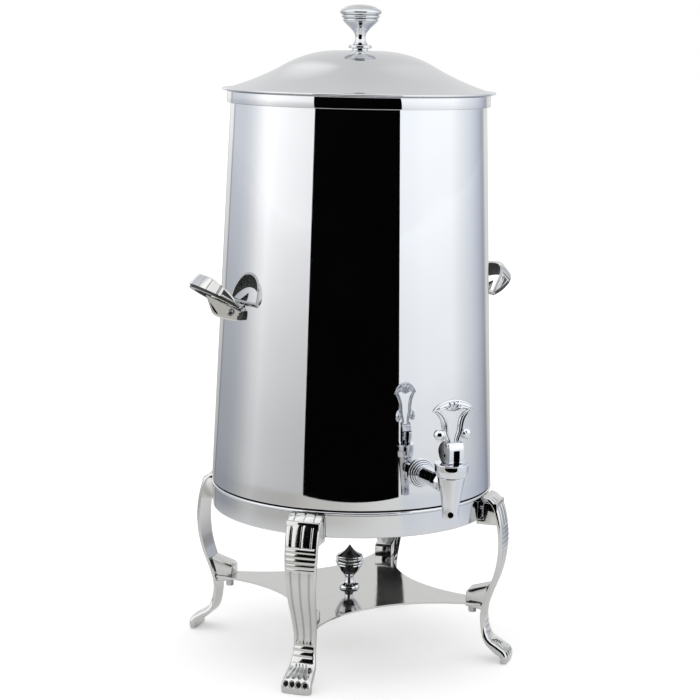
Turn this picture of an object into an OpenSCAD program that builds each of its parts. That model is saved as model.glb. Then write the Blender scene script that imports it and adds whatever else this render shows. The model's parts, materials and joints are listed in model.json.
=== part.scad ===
// Insulated five-gallon coffee urn on a four-legged stand, with a pull-forward tap.
// Millimetres, Z up. The origin is on the floor under the middle of the urn, and the tap faces -Y.

/* [Urn] */
// Outer radius of the shell at its bottom edge
shell_bottom_r = 155; // [152:0.5:158]
// Outer radius of the shell under the rim band
shell_top_r = 138.8; // [135:0.1:145]
// Height of the shell from its bottom edge to the rim band
shell_h = 413.6; // [380:0.1:450]
// Thickness of the pressed steel sheet
sheet = 1; // [0.8:0.1:1.2]
// Distance from the outer face of the shell to the outer face of the vessel
wall_space = 14; // [13:0.5:16]
// Thickness of the insulation round the vessel
jacket_t = 6; // [4:0.5:6]
// Height of the vessel's floor above the shell's bottom edge
floor_rise = 17; // [16:0.5:20]
// Radius of the rounded corner between the vessel's floor and wall
floor_corner_r = 8; // [4:0.5:12]
// Height of the rim band
band_h = 13.2; // [11:0.1:16]
// How far the rim band stands out from the shell
band_proud = 3.7; // [2.5:0.1:5]
// Radius of the rim band's rounded top edge
band_edge_r = 1.5; // [0.5:0.1:2]

/* [Base pan] */
// Clearance inside the stand ring round the foot under the urn
pan_foot_clear = 5; // [4:0.5:7]
// Width of that foot where it rests on the ring's ledge
pan_foot_w = 8; // [6:0.5:10]

/* [Lid] */
// How far the lid's rim overhangs the rim band
lid_overhang = 5.4; // [3:0.1:7]
// Radius of the lid's rolled rim
lid_roll_r = 1.2; // [0.9:0.1:1.6]
// Rise of the lid from its rim to its middle
lid_rise = 42.8; // [38:0.1:48]
// Radius of the flat in the middle of the lid
lid_flat_r = 22; // [18:0.5:26]
// Slope in degrees where the dome turns over into the flare
lid_slope = 30; // [27:0.5:32]
// Slope in degrees where the flare meets the rolled rim
lid_rim_slope = 15; // [12:0.5:18]
// Depth of the lining plate below the rim band's top
liner_depth = 9; // [6:0.5:14]
// Clearance round the lining plate in the vessel's mouth
liner_clear = 0.8; // [0.5:0.1:1.5]

/* [Knob] */
// Radius of the widest step of the knob
knob_r = 22.6; // [20:0.1:25]
// Height of the knob above its collar
knob_h = 42.8; // [38:0.1:48]
// Radius of the collar under the knob
knob_collar_r = 12.6; // [11:0.1:15]
// Height of that collar and its foot
knob_collar_h = 6.2; // [5:0.1:8]
// Radius of the screw that holds the knob
knob_screw_r = 2.5; // [2:0.1:3]

/* [Stand ring] */
// Height of the top of the ring above the floor
ring_top = 190; // [170:1:210]
// Height of the ring
ring_h = 28; // [26:0.5:34]
// How far the ring's wall stands inside the shell's bottom edge
ring_set_in = 1.5; // [0.5:0.5:2.5]
// Thickness of the ring's wall
ring_wall = 2.5; // [2:0.1:3]
// Radius of the rounded bead along the ring's top
ring_bead_r = 1.8; // [1.5:0.1:2.2]
// How far that bead stands out from the ring's wall
ring_bead_out = 2; // [1.5:0.1:2.5]
// Width of the ledge inside the ring that carries the urn
ledge_w = 15; // [13:0.5:18]
// Thickness of that ledge
ledge_t = 3; // [2:0.1:4]
// Visible gap between the ring and the shell
shell_gap = 1.7; // [1:0.1:2.5]

/* [Legs] */
// Width of a leg at its top
leg_top_w = 37.5; // [34:0.5:40]
// Width of a leg at its ankle, where it is narrowest
leg_ankle_w = 24.6; // [23:0.2:28]
// Width of a leg at its foot
leg_foot_w = 32.4; // [28:0.2:36]
// Thickness of a leg between knee and ankle
leg_t = 5.5; // [4.5:0.1:7]
// Depth of the flutes in the leg's outer face
flute_depth = 0.9; // [0.5:0.1:1.2]
// Width of one flute
flute_w = 4; // [3:0.1:4.6]
// Radius of the screws that hold the legs to the ring
leg_screw_r = 2.5; // [2:0.1:3]
// Distance between a leg's two screws
leg_screw_gap = 18; // [14:0.5:22]

/* [Shelf] */
// Height of the top of the shelf above the floor
shelf_top = 65.5; // [58:0.5:76]
// Thickness of the shelf
shelf_t = 2; // [1.5:0.1:3]
// Distance from the middle to the nearest point of each curved edge
shelf_waist = 80; // [72:0.5:88]
// Radius of the shelf's curved edges
shelf_edge_r = 150; // [140:1:160]
// Radius of the bolts that hold the shelf to the legs
shelf_bolt_r = 2.5; // [2:0.1:3]
// Radius of the widest ring of the finial on the shelf
finial_r = 15.9; // [14:0.1:18]
// Height of the finial
finial_h = 49; // [44:0.5:54]

/* [Handles] */
// Height of the handles' seats above the shell's bottom edge
handle_rise = 197; // [150:1:240]
// Outer half width of a handle's loop at its top edge
handle_r = 37; // [34:0.5:42]
// Length of the loop from the shell to where its curve starts
handle_run = 15; // [13:0.5:20]
// Upward tilt of the loop in degrees
handle_tilt = 28.5; // [22:0.5:32]
// Height of the loop's band at its front
handle_front_h = 15.5; // [13:0.5:18]
// Height of the loop's band at its root
handle_root_h = 2; // [1.6:0.2:3]
// Thickness of the loop's band
handle_band = 5.5; // [4.5:0.1:7]
// How far the band's outer face bulges out below its top edge
band_bulge = 3; // [1:0.1:4]
// Distance from the shell to the root of the loop's arms
loop_root = 11; // [9:0.5:12]
// Distance from the shell to the finger gap
loop_bar = 15; // [14:0.5:15]
// Width of the bracket block where it stands on the shell
bracket_w = 41; // [38:0.5:44]
// How far the bracket block stands out from the shell
bracket_out = 31; // [29:0.5:33]
// Depth of the block below the loop's seat
bracket_drop = 11.5; // [11:0.1:13]
// Width of the tongue under the loop that sits in the block
tongue_w = 22; // [20:0.5:24]
// Half width of the bracket's wall flange at its fin tips
flange_half_w = 33; // [30:0.5:36]
// Radius of the screws in the sides of the bracket
side_screw_r = 2; // [1.5:0.1:2.5]
// Radius of the bolts that hold the bracket to the shell
bracket_bolt_r = 2.5; // [2:0.1:3]

/* [Tap] */
// Distance from the shell to the tap's upright axis
tap_reach = 61.5; // [54:0.5:70]
// Height of the tap's shank above the shell's bottom edge
tap_rise = 37.8; // [34:0.1:48]
// Outer radius of the shank
shank_r = 9.2; // [8.6:0.1:9.8]
// Radius of the threaded end of the shank that goes through the wall
shank_thread_r = 7.8; // [7:0.1:8.4]
// Radius of the waterway through the shank
waterway_r = 4.5; // [4:0.1:5]
// Outer radius of the spout
spout_r = 8.1; // [7.5:0.1:9]
// Height of the straight part of the spout
spout_h = 10.5; // [8:0.5:13]
// Height of the cone above the spout
cone_h = 32; // [30:0.5:36]
// Outer radius of the cone's top
cone_r = 13.8; // [13:0.1:15]
// Radius of the outlet bore
outlet_r = 4.5; // [4:0.1:5]
// Radius of the valve chamber
chamber_r = 7.5; // [7:0.1:7.8]
// Height of the shank's axis above the valve seat
seat_drop = 15.5; // [14:0.5:16]
// Radius of the air hole in the side of the spout
vent_r = 2.8; // [2:0.1:3]
// Angle in degrees from the front of the spout to its air hole
vent_turn = 28; // [0:1:60]
// Outer radius of the bonnet's skirt
bonnet_r = 16.6; // [15.8:0.1:17.2]
// Radius of the bonnet's thin top disc
bonnet_disc_r = 17.9; // [17.5:0.1:19]
// Height of the bonnet
bonnet_h = 13.7; // [12.5:0.1:15]
// Radius of the stem
stem_r = 3.5; // [3:0.1:3.6]
// Lift of the stem when the lever is pulled right forward
stem_lift = 4; // [3:0.1:4.5]
// Wire radius of the return spring
spring_wire_r = 0.5; // [0.4:0.05:0.6]
// Number of coils in the return spring
spring_turns = 7; // [5:1:8]

/* [Lever] */
// Angle in degrees that the lever pulls forward
lever_angle = 45; // [35:1:50]
// Height of the lever's pin above the bonnet
pin_rise = 8.3; // [7.8:0.1:9]
// Radius of the lever's pin
pin_r = 1.5; // [1.2:0.1:1.8]
// Width of the lever's fork
fork_w = 17.2; // [16:0.1:19]
// Width of the slot in the fork
fork_slot = 7.8; // [7.6:0.1:8.4]
// Half width of the fan between its tips
fan_half_w = 23.7; // [21:0.1:26]
// Height of the fan's top above the pin
fan_h = 58; // [54:0.5:64]
// Thickness of the fan
fan_t = 5; // [4:0.1:6]
// Radius of the two balls beside the fan's foot
ball_r = 6.2; // [5:0.1:7]

/* [Hidden] */
$fn = 72;

// Clearances
fit = 0.05;        // round a screw, a thread or a pressed seat
slip = 0.04;       // round a pin or stem that turns or slides
seam = 0.3;        // between a curved face and its neighbour
contact = 0.1;     // under the valve cup and the lever's cam
over = 1;          // how far a cutting shape runs past the face that it cuts

// Heights
ring_z0 = ring_top - ring_h;
ledge_z = ring_z0 + ledge_t;
shell_z0 = ring_top + shell_gap;
band_z0 = shell_z0 + shell_h;
band_z1 = band_z0 + band_h;
floor_z = shell_z0 + floor_rise;
handle_z = shell_z0 + handle_rise;
tap_z = shell_z0 + tap_rise;

// Radii that follow the shell's taper
function shell_r(z) = shell_bottom_r + (shell_top_r - shell_bottom_r) * (z - shell_z0) / shell_h;
function vessel_r(z) = shell_r(z) - wall_space;
band_r = shell_top_r + band_proud;
ring_r = shell_bottom_r - ring_set_in;
lid_r = band_r + lid_overhang;
mouth_r = vessel_r(band_z1 - sheet) - sheet;
ledge_r = ring_r - ring_wall - ledge_w;

// Points of an arc about c from angle a0 to a1
function arc(c, r, a0, a1, n = 8) =
  [for (i = [0:n]) c + r * [cos(a0 + (a1 - a0) * i / n), sin(a0 + (a1 - a0) * i / n)]];

// One point of a smooth curve through p1 and p2, with p0 and p3 on either side
function curve_at(p0, p1, p2, p3, t) =
  0.5 * (2 * p1 + (p2 - p0) * t + (2 * p0 - 5 * p1 + 4 * p2 - p3) * t * t
  + (3 * p1 - p0 - 3 * p2 + p3) * t * t * t);

// A smooth curve through every point of a list, with steps points to each stretch
function smooth(p, steps = 3) = [
  for (i = [0:len(p) - 2], s = [0:steps - 1])
    curve_at(p[max(i - 1, 0)], p[i], p[i + 1], p[min(i + 2, len(p) - 1)], s / steps),
  p[len(p) - 1]
];

function reversed(p) = [for (i = [len(p) - 1:-1:0]) p[i]];

// A turned piece from its outline of [radius, height] points
module turned(outline) {
  rotate_extrude() polygon(outline);
}

// The same with a fine step, for cutting seats that follow the shell
module turned_fine(outline) {
  rotate_extrude($fn = 288) polygon(outline);
}

// Solid cone whose side runs grow outside the shell's outer face, cut off beyond both heights
module shell_core(grow, z0, z1) {
  turned_fine([[0, z0], [shell_r(z0) + grow, z0], [shell_r(z1) + grow, z1], [0, z1]]);
}

// A cylinder of radius r that lies along Y, from y0 to y1, at height z
module bar_y(r, y0, y1, z) {
  translate([0, y0, z]) rotate([-90, 0, 0]) cylinder(r = r, h = y1 - y0);
}

// A screw along +Z: its head's underside at z = 0, its shank going up
module screw(r, length, head_r, head_h, sides) {
  cylinder(r = r, h = length);
  translate([0, 0, -head_h]) cylinder(r = head_r, h = head_h, $fn = sides);
}

// ---------- Stand ----------

ring_in = ring_r - ring_wall;
ring_corner = 1.5;
bead_at_r = ring_r + ring_bead_out - ring_bead_r;
bead_start = -acos((ring_r - bead_at_r) / ring_bead_r);

module stand_ring() {
  color([0.8, 0.8, 0.8]) difference() {
    turned(concat(
      [[ledge_r, ring_z0], [ring_r - ring_corner, ring_z0]],
      arc([ring_r - ring_corner, ring_z0 + ring_corner], ring_corner, -60, 0, 3),
      arc([bead_at_r, ring_top - ring_bead_r], ring_bead_r, bead_start, 150, 12),
      [[ring_in, ring_top - ring_bead_r], [ring_in, ledge_z], [ledge_r, ledge_z]]));
    for (a = leg_angles, side = [-1, 1]) leg_screw_place(a, side)
      translate([0, 0, -over]) cylinder(r = leg_screw_r + fit, h = ring_wall + 3 * over);
  }
}

// Each row: radius beyond the ring's wall, share of the ring's height, thickness of the leg
leg_line = [
  [3.5, 0.992, 4], [11, 0.977, 4.5], [18.2, 0.93, 5], [23, 0.842, leg_t], [25.5, 0.726, leg_t],
  [24.4, 0.61, leg_t], [20, 0.505, leg_t], [12.5, 0.4, leg_t], [7.6, 0.316, leg_t],
  [7, 0.237, leg_t], [12, 0.147, leg_t + 1.5], [22.5, 0.108, leg_t + 4], [31.3, 0.076, leg_t + 3.5],
  [34.5, 0.042, leg_t + 2.5], [33.5, 0, leg_t + 2.5]
];
leg_run = smooth(leg_line);
leg_last = len(leg_run) - 1;
function leg_out(i) = [ring_r + leg_run[i][0], ring_top * leg_run[i][1]];
function leg_way(i) = leg_out(min(i + 1, leg_last)) - leg_out(max(i - 1, 0));
function leg_normal(i) = [-leg_way(i)[1], leg_way(i)[0]] / norm(leg_way(i));
function leg_skin(i, depth) = leg_out(i) - leg_normal(i) * depth;
// Radius of the leg's outer face at a height
function leg_r(z) = lookup(z, [for (i = [leg_last:-1:0]) [leg_out(i)[1], leg_out(i)[0]]]);

leg_angles = [-45, -135, 135, 45];
leg_block_drop = 5.5;
leg_block_in = 5;
leg_block_top = 9;
sole_w = 13;
sole_h = 9;
tab_in = 16;
tab_rise = 14;
tab_slope = 6;
tab_lip = 3;
tab_corner = 1.4;
tab_end_r = ring_r - tab_in;
bolt_at_r = tab_end_r + 5.5;
arm_end_r = ring_r + 2;
slot_z0 = shelf_top - shelf_t - fit;
slot_z1 = shelf_top + fit;
leg_screw_z = (ring_z0 + ring_top) / 2 - 3;
leg_screw_l = ring_wall + 9;
leg_screw_head_r = 1.9 * leg_screw_r;
leg_screw_head_h = 2.4;

// Puts a leg screw's head against the inside of the ring, pointing outwards
module leg_screw_place(angle, side) {
  rotate([0, 0, angle]) translate([ring_flat_r, side * leg_screw_gap / 2, leg_screw_z])
    rotate([0, 90, 0]) children();
}
// Where a flat screw head touches the curved inside of the ring
ring_flat_r = sqrt(ring_in * ring_in - pow(leg_screw_gap / 2 + leg_screw_head_r, 2)) - fit;

// Side views of what a leg is made of, in [radius, height]: its strap, its sole, the block that holds
// the ring and the tab that holds the shelf
leg_strap = concat([for (i = [0:leg_last]) leg_out(i)],
  [for (i = [leg_last:-1:0]) leg_skin(i, leg_run[i][2])]);
sole_r = leg_out(leg_last)[0];
leg_sole = [[sole_r - sole_w, 0], [sole_r, 0], [sole_r - 1, sole_h], [sole_r - sole_w - 2, sole_h]];
block_z0 = ring_z0 - leg_block_drop;
block_z1 = ring_top - leg_block_top;
leg_block = [[ring_r - leg_block_in, block_z0], [leg_r(ring_z0) - leg_t / 2, block_z0],
  [leg_r(block_z1) - leg_t / 2, block_z1], [ring_r - leg_block_in, block_z1]];
tab_z0 = slot_z0 - tab_lip;
tab_z1 = shelf_top + tab_rise;
leg_tab = [[tab_end_r, tab_z0 + tab_corner], [tab_end_r + tab_corner, tab_z0],
  [leg_r(tab_z0 - tab_lip) - leg_t / 2, tab_z0 - tab_lip], [leg_r(tab_z1) - leg_t / 2, tab_z1 + tab_slope],
  [tab_end_r + 2 * tab_corner, tab_z1], [tab_end_r, tab_z1 - 2 * tab_corner]];

// Front view of a leg: rows of half width and share of the ring's height
leg_front = smooth([
  [leg_top_w / 2, 1.02], [leg_top_w * 0.485, 0.81], [leg_top_w * 0.473, 0.72], [leg_top_w * 0.415, 0.505],
  [(leg_ankle_w + 3) / 2, 0.38], [leg_ankle_w / 2, 0.26], [leg_ankle_w / 2 + 0.5, 0.18],
  [leg_foot_w * 0.46, 0.12], [leg_foot_w / 2, 0.04], [leg_foot_w / 2 - 0.3, -0.01]
]);

module leg_front_view() {
  polygon(concat([for (p = leg_front) [p[0], p[1] * ring_top]],
    [for (p = reversed(leg_front)) [-p[0], p[1] * ring_top]]));
}

// Strip of the leg's outer face between two shares of the ring's height
module leg_strip(from, to, depth) {
  span = [for (i = [0:leg_last]) if (leg_run[i][1] <= from && leg_run[i][1] >= to) i];
  polygon(concat([for (i = span) leg_skin(i, -over)], [for (i = reversed(span)) leg_skin(i, depth)]));
}

// Shares of the ring's height where the carving changes
panel_top = 0.96;
panel_foot = 0.82;
shank_top = 0.69;
shank_foot = 0.25;
foot_top = 0.12;
foot_foot = 0.04;
ridge_shares = [0.8, 0.775, 0.75, 0.725, 0.7];
anklet_shares = [0.235, 0.205, 0.175, 0.145];
ridge_cut_r = 1.1;
ridge_cuts = [for (s = concat(ridge_shares, anklet_shares)) s * ring_top];
panel_pitch = 1.9 * flute_w;
shank_pitch = 1.75 * flute_w;
toe_depth = 1.2 * flute_depth;

module leg(angle) {
  color([0.82, 0.82, 0.82]) rotate([0, 0, angle]) difference() {
    intersection() {
      union() {
        for (side_view = [leg_strap, leg_sole, leg_block, leg_tab])
          rotate([90, 0, 0]) translate([0, 0, -leg_top_w / 2 - over])
            linear_extrude(leg_top_w + 2 * over) polygon(side_view);
      }
      rotate([90, 0, 90]) translate([0, 0, ring_r - ring_r / 4]) linear_extrude(ring_r / 2) leg_front_view();
    }
    // Seat for the ring
    rotate([0, 0, -angle]) translate([0, 0, ring_z0 - fit])
      cylinder(r = ring_r + ring_bead_out + fit, h = ring_h);
    // Flutes: four in the top panel, three down the shank, three between the toes
    for (k = [-1.5:1:1.5]) leg_flute(k * panel_pitch, panel_top, panel_foot, flute_depth);
    for (k = [-1:1]) leg_flute(k * shank_pitch, shank_top, shank_foot, flute_depth);
    for (k = [-1:1]) leg_flute(k * panel_pitch, foot_top, foot_foot, toe_depth);
    for (z = ridge_cuts) translate([leg_r(z) + ridge_cut_r / 3, 0, z]) rotate([90, 0, 0])
      cylinder(r = ridge_cut_r, h = leg_top_w + 2 * over, center = true, $fn = 24);
    // Slot for the shelf's arm, and the bolt's hole
    translate([tab_end_r - over, -leg_top_w / 2, slot_z0])
      cube([arm_end_r + fit + over - tab_end_r, leg_top_w, slot_z1 - slot_z0]);
    translate([bolt_at_r, 0, slot_z0 - 2 * tab_lip])
      cylinder(r = shelf_bolt_r + fit, h = 2 * tab_lip + shelf_bolt_l);
    translate([bolt_at_r, 0, tab_z0 - shelf_bolt_head_h])
      cylinder(r = shelf_bolt_head_r + seam, h = shelf_bolt_head_h);
    for (side = [-1, 1]) translate([ring_flat_r, side * leg_screw_gap / 2, leg_screw_z])
      rotate([0, 90, 0]) cylinder(r = leg_screw_r + fit, h = leg_screw_l + 0.5);
  }
}

module leg_flute(y, from, to, depth) {
  translate([0, y + flute_w / 2, 0]) rotate([90, 0, 0])
    linear_extrude(flute_w) leg_strip(from, to, depth);
}

module leg_screws() {
  color([0.6, 0.6, 0.62]) for (a = leg_angles, side = [-1, 1]) leg_screw_place(a, side)
    screw(leg_screw_r, leg_screw_l, leg_screw_head_r, leg_screw_head_h, 32);
}

finial_screw_r = 2.5;

module shelf_plate() {
  color([0.72, 0.72, 0.7]) translate([0, 0, shelf_top - shelf_t]) linear_extrude(shelf_t) difference() {
    circle(r = arm_end_r);
    for (a = [0:90:270]) rotate([0, 0, a]) translate([shelf_waist + shelf_edge_r, 0])
      circle(r = shelf_edge_r);
    for (a = leg_angles) rotate([0, 0, a]) translate([bolt_at_r, 0]) circle(r = shelf_bolt_r + fit);
    circle(r = finial_screw_r + fit);
  }
}

shelf_bolt_l = shelf_t + 8;
shelf_bolt_head_r = 1.8 * shelf_bolt_r;
shelf_bolt_head_h = 8;

module shelf_bolts() {
  color([0.75, 0.75, 0.75]) for (a = leg_angles)
    rotate([0, 0, a]) translate([bolt_at_r, 0, slot_z0 - tab_lip - fit])
      screw(shelf_bolt_r, tab_lip + shelf_bolt_l, shelf_bolt_head_r, shelf_bolt_head_h, 6);
}

// Outline of the finial, as shares of its widest radius and of its height
finial_line = [
  [0, 0], [0.72, 0], [0.74, 0.03], [0.66, 0.07], [0.4, 0.1], [0.33, 0.14], [0.3, 0.2], [0.34, 0.27],
  [0.52, 0.34], [0.7, 0.41], [0.84, 0.49], [0.92, 0.54], [0.86, 0.56], [0.99, 0.61], [1, 0.66],
  [0.94, 0.68], [0.98, 0.7], [0.9, 0.75], [0.62, 0.8], [0.34, 0.87], [0.15, 0.94], [0.03, 0.995], [0, 1]
];
finial_screw_depth = 14;

module shelf_finial() {
  color([0.55, 0.55, 0.55]) difference() {
    translate([0, 0, shelf_top]) turned([for (p = finial_line) [p[0] * finial_r, p[1] * finial_h]]);
    translate([0, 0, shelf_top - over]) cylinder(r = finial_screw_r + fit, h = finial_screw_depth + over);
  }
}

module finial_screw() {
  color([0.6, 0.6, 0.62]) translate([0, 0, shelf_top - shelf_t])
    screw(finial_screw_r, shelf_t + finial_screw_depth - 0.5, 2 * finial_screw_r, 2.5, 32);
}

// ---------- Urn body ----------

wall_top = band_z1 - 2 * sheet;

module outer_shell() {
  color([0.86, 0.87, 0.88]) difference() {
    turned([[shell_r(shell_z0), shell_z0], [shell_r(wall_top), wall_top],
      [shell_r(wall_top) - sheet, wall_top], [shell_r(shell_z0) - sheet, shell_z0]]);
    bar_y(shank_thread_r + fit, -shell_r(tap_z) - over, -shell_r(tap_z) + 3 * sheet, tap_z);
    for (side = [-1, 1], v = [-1, 1]) bracket_bolt_place(side, v)
      cylinder(r = bracket_bolt_r + fit, h = 12 * sheet, center = true);
  }
}

// Rolled band that closes the top of the double wall
module rim_band() {
  color([0.86, 0.87, 0.88]) turned(concat(
    [[shell_top_r + fit, band_z0], [band_r, band_z0]],
    arc([band_r - band_edge_r, band_z1 - band_edge_r], band_edge_r, 0, 90, 5),
    [[mouth_r + sheet / 2, band_z1], [mouth_r + sheet / 2, band_z1 - sheet],
     [shell_top_r + fit, band_z1 - sheet]]));
}

module inner_vessel() {
  corner_z = floor_z - sheet + floor_corner_r;
  corner = [vessel_r(corner_z) - floor_corner_r, corner_z];
  color([0.78, 0.78, 0.78]) difference() {
    turned(concat(
      [[0, floor_z - sheet]],
      arc(corner, floor_corner_r, -90, 0, 6),
      [[vessel_r(wall_top), wall_top], [shell_top_r, wall_top], [shell_top_r, wall_top + sheet],
       [mouth_r, wall_top + sheet]],
      arc(corner, floor_corner_r - sheet, 0, -90, 6),
      [[0, floor_z]]));
    bar_y(shank_thread_r + fit, -vessel_r(tap_z) - over, -vessel_r(tap_z) + 3 * sheet, tap_z);
  }
}

module insulation_jacket() {
  top = wall_top - 10;
  color([0.9, 0.88, 0.8]) difference() {
    turned([[0, jacket_z0], [vessel_r(floor_z) + seam + jacket_t, jacket_z0],
      [vessel_r(top) + seam + jacket_t, top], [vessel_r(top) + seam, top],
      [vessel_r(floor_z + floor_corner_r) + seam, floor_z + floor_corner_r],
      [vessel_r(floor_z) + seam, floor_z - sheet - seam], [0, floor_z - sheet - seam]]);
    bar_y(spacer_r + 1, -shell_r(tap_z), -vessel_r(tap_z) + wall_space, tap_z);
  }
}

pan_foot_r = ring_in - pan_foot_clear;
pan_kick_r = pan_foot_r - pan_foot_w;
pan_kick_z = shell_z0 + 4;
jacket_z0 = pan_kick_z + sheet + seam;

// Pressed pan that closes the urn's underside and stands it in the ring
module base_pan() {
  lip_r = shell_r(shell_z0) - sheet - 0.2;
  color([0.75, 0.75, 0.75]) turned([
    [0, pan_kick_z], [pan_kick_r - 5, pan_kick_z], [pan_kick_r - 1, ledge_z], [pan_foot_r, ledge_z],
    [pan_foot_r, shell_z0], [lip_r, shell_z0], [lip_r, shell_z0 + sheet],
    [pan_foot_r - sheet, shell_z0 + sheet],
    [pan_foot_r - sheet, ledge_z + sheet], [pan_kick_r - 0.3, ledge_z + sheet],
    [pan_kick_r - 4.3, pan_kick_z + sheet], [0, pan_kick_z + sheet]]);
}

// ---------- Handles ----------

seat_r = shell_r(handle_z);
loop_front = handle_run + handle_r;

// Stands a piece that is drawn pointing along +X at one side of the urn: 1 is right, -1 is left
module handle_place(side) {
  rotate([0, 0, side > 0 ? 0 : 180]) translate([seat_r, 0, handle_z]) children();
}

bracket_bolt_v = 8;
bracket_bolt_z = -7.4;
bracket_bolt_l = 12;

// Axis of a bracket bolt, head end inside the double wall, pointing outwards
module bracket_bolt_place(side, v) {
  handle_place(side) translate([-2 * sheet, v * bracket_bolt_v, bracket_bolt_z])
    rotate([0, 90, 0]) children();
}

// Side view of the bracket block, in [distance from the shell, height above the seat]
block_in = 3;
block_side = concat(
  [[-block_in, -bracket_drop]],
  smooth([[block_in, -bracket_drop], [0.42 * bracket_out, -0.8 * bracket_drop],
    [0.7 * bracket_out, -0.4 * bracket_drop], [0.86 * bracket_out, 0.4 * bracket_drop],
    [bracket_out, bracket_out * tan(handle_tilt) - fit]], 4),
  [[-block_in, -block_in * tan(handle_tilt) - fit]]);

// Half of its plan: flat slanted sides that close to a round nose
nose_r = 4;
side_slant = atan((bracket_w / 2 - nose_r) / (bracket_out - nose_r));
block_half = concat([[-block_in, 0], [-block_in, bracket_w / 2 + block_in * tan(side_slant)]],
  arc([bracket_out - nose_r, 0], nose_r, 90 - side_slant, 0, 6));

// Tongue under the loop, in the loop's own tilted frame
tongue_in = 2.5;
tongue_out = 8.5;
tongue_drop = 6.6;
neck_half_v = tongue_w / 2 + 2.5;
side_screw_at = [9.5, -1.6];
side_screw_l = 9.5;
side_screw_head_h = 1.6;
side_screw_sunk = 1;
flange_t = 3;
flange_deep = 8;
fin_h = 12;
pocket_h = 40;
reach_z = 60;

// Axis of a side screw, square to the block's slanted side, from just under that face inwards
module side_screw_place(v) {
  half_w = nose_r / cos(side_slant) + (bracket_out - nose_r - side_screw_at[0]) * tan(side_slant);
  translate([side_screw_at[0], v * half_w, side_screw_at[1]]) rotate([0, 0, -v * side_slant])
    translate([0, -v * side_screw_sunk, 0]) rotate([v * 90, 0, 0]) children();
}

// Wall flange of the bracket with its two pointed fins, as a front view
module flange_front() {
  w = flange_half_w;
  half = concat(
    [[0, -bracket_drop], [0.78 * w, -bracket_drop]],
    smooth([[0.78 * w, -bracket_drop], [0.9 * w, -0.5 * bracket_drop], [0.97 * w, 0], [w, fin_h]], 3),
    smooth([[w, fin_h], [0.86 * w, 0.45 * fin_h], [0.72 * w, 0.1 * fin_h], [0.5 * w, 0]], 3));
  polygon(concat(half, [for (p = reversed(half)) [-p[0], p[1]]]));
}

// The tongue, or with a clearance all round the pocket that it sits in
module tongue(side, clear, top) {
  handle_place(side) rotate([0, -handle_tilt, 0])
    translate([tongue_in - clear, -tongue_w / 2 - clear, -tongue_drop - clear])
      cube([tongue_out - tongue_in + 2 * clear, tongue_w + 2 * clear, tongue_drop + clear + top]);
}

module handle_bracket(side) {
  color([0.78, 0.78, 0.78]) difference() {
    handle_place(side) {
      intersection() {
        translate([0, bracket_w, 0]) rotate([90, 0, 0]) linear_extrude(2 * bracket_w) polygon(block_side);
        translate([0, 0, -2 * bracket_out]) linear_extrude(4 * bracket_out)
          polygon(concat(block_half, [for (p = reversed(block_half)) [p[0], -p[1]]]));
      }
      translate([-flange_deep, 0, 0]) rotate([90, 0, 90]) linear_extrude(1.5 * flange_deep) flange_front();
    }
    shell_core(fit, handle_z - reach_z, handle_z + reach_z);
    // Face of the fins, which follows the shell
    difference() {
      handle_place(side) for (v = [-1, 1])
        translate([0, v * (bracket_w + flange_half_w) / 2, 0])
          cube([4 * flange_deep, flange_half_w, 4 * flange_deep], center = true);
      shell_core(flange_t, handle_z - reach_z, handle_z + reach_z);
    }
    tongue(side, fit, pocket_h);
    handle_place(side) for (v = [-1, 1]) side_screw_place(v) {
      translate([0, 0, -over]) cylinder(r = side_screw_r + fit, h = side_screw_l + over);
      translate([0, 0, -2 * over]) cylinder(r = 2 * side_screw_r + 0.4, h = 2 * over);
    }
    for (v = [-1, 1]) bracket_bolt_place(side, v) cylinder(r = bracket_bolt_r + fit, h = bracket_bolt_l);
  }
}

// Half section of the loop's band: [distance out from its inner face, height]
band_section = concat([[0, 0]],
  smooth([[handle_band - 1, 0], [handle_band + 0.8 * band_bulge, 0.14 * handle_front_h],
    [handle_band + band_bulge, 0.25 * handle_front_h], [handle_band + 0.8 * band_bulge, 0.5 * handle_front_h],
    [handle_band + 0.4 * band_bulge, 0.8 * handle_front_h], [handle_band - 0.8, handle_front_h]], 4),
  [[0, handle_front_h]]);
loop_in_r = handle_r - handle_band;
// Top edge of the band from its root to its front, in [distance from the shell, height]
band_top = smooth([[loop_root, handle_root_h], [loop_root + 3.5, 0.24 * handle_front_h],
  [0.33 * loop_front, 0.42 * handle_front_h], [0.41 * loop_front, 0.6 * handle_front_h],
  [0.6 * loop_front, 0.86 * handle_front_h], [0.8 * loop_front, handle_front_h]], 4);

// Band round the loop: two straight arms and a half circle
module loop_band() {
  translate([handle_run, 0, 0]) rotate([0, 0, -90]) rotate_extrude(angle = 180)
    translate([loop_in_r, 0]) polygon(band_section);
  for (v = [0, 1]) mirror([0, v, 0]) translate([loop_root, loop_in_r, 0]) rotate([90, 0, 90])
    linear_extrude(handle_run - loop_root) polygon(band_section);
}

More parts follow.
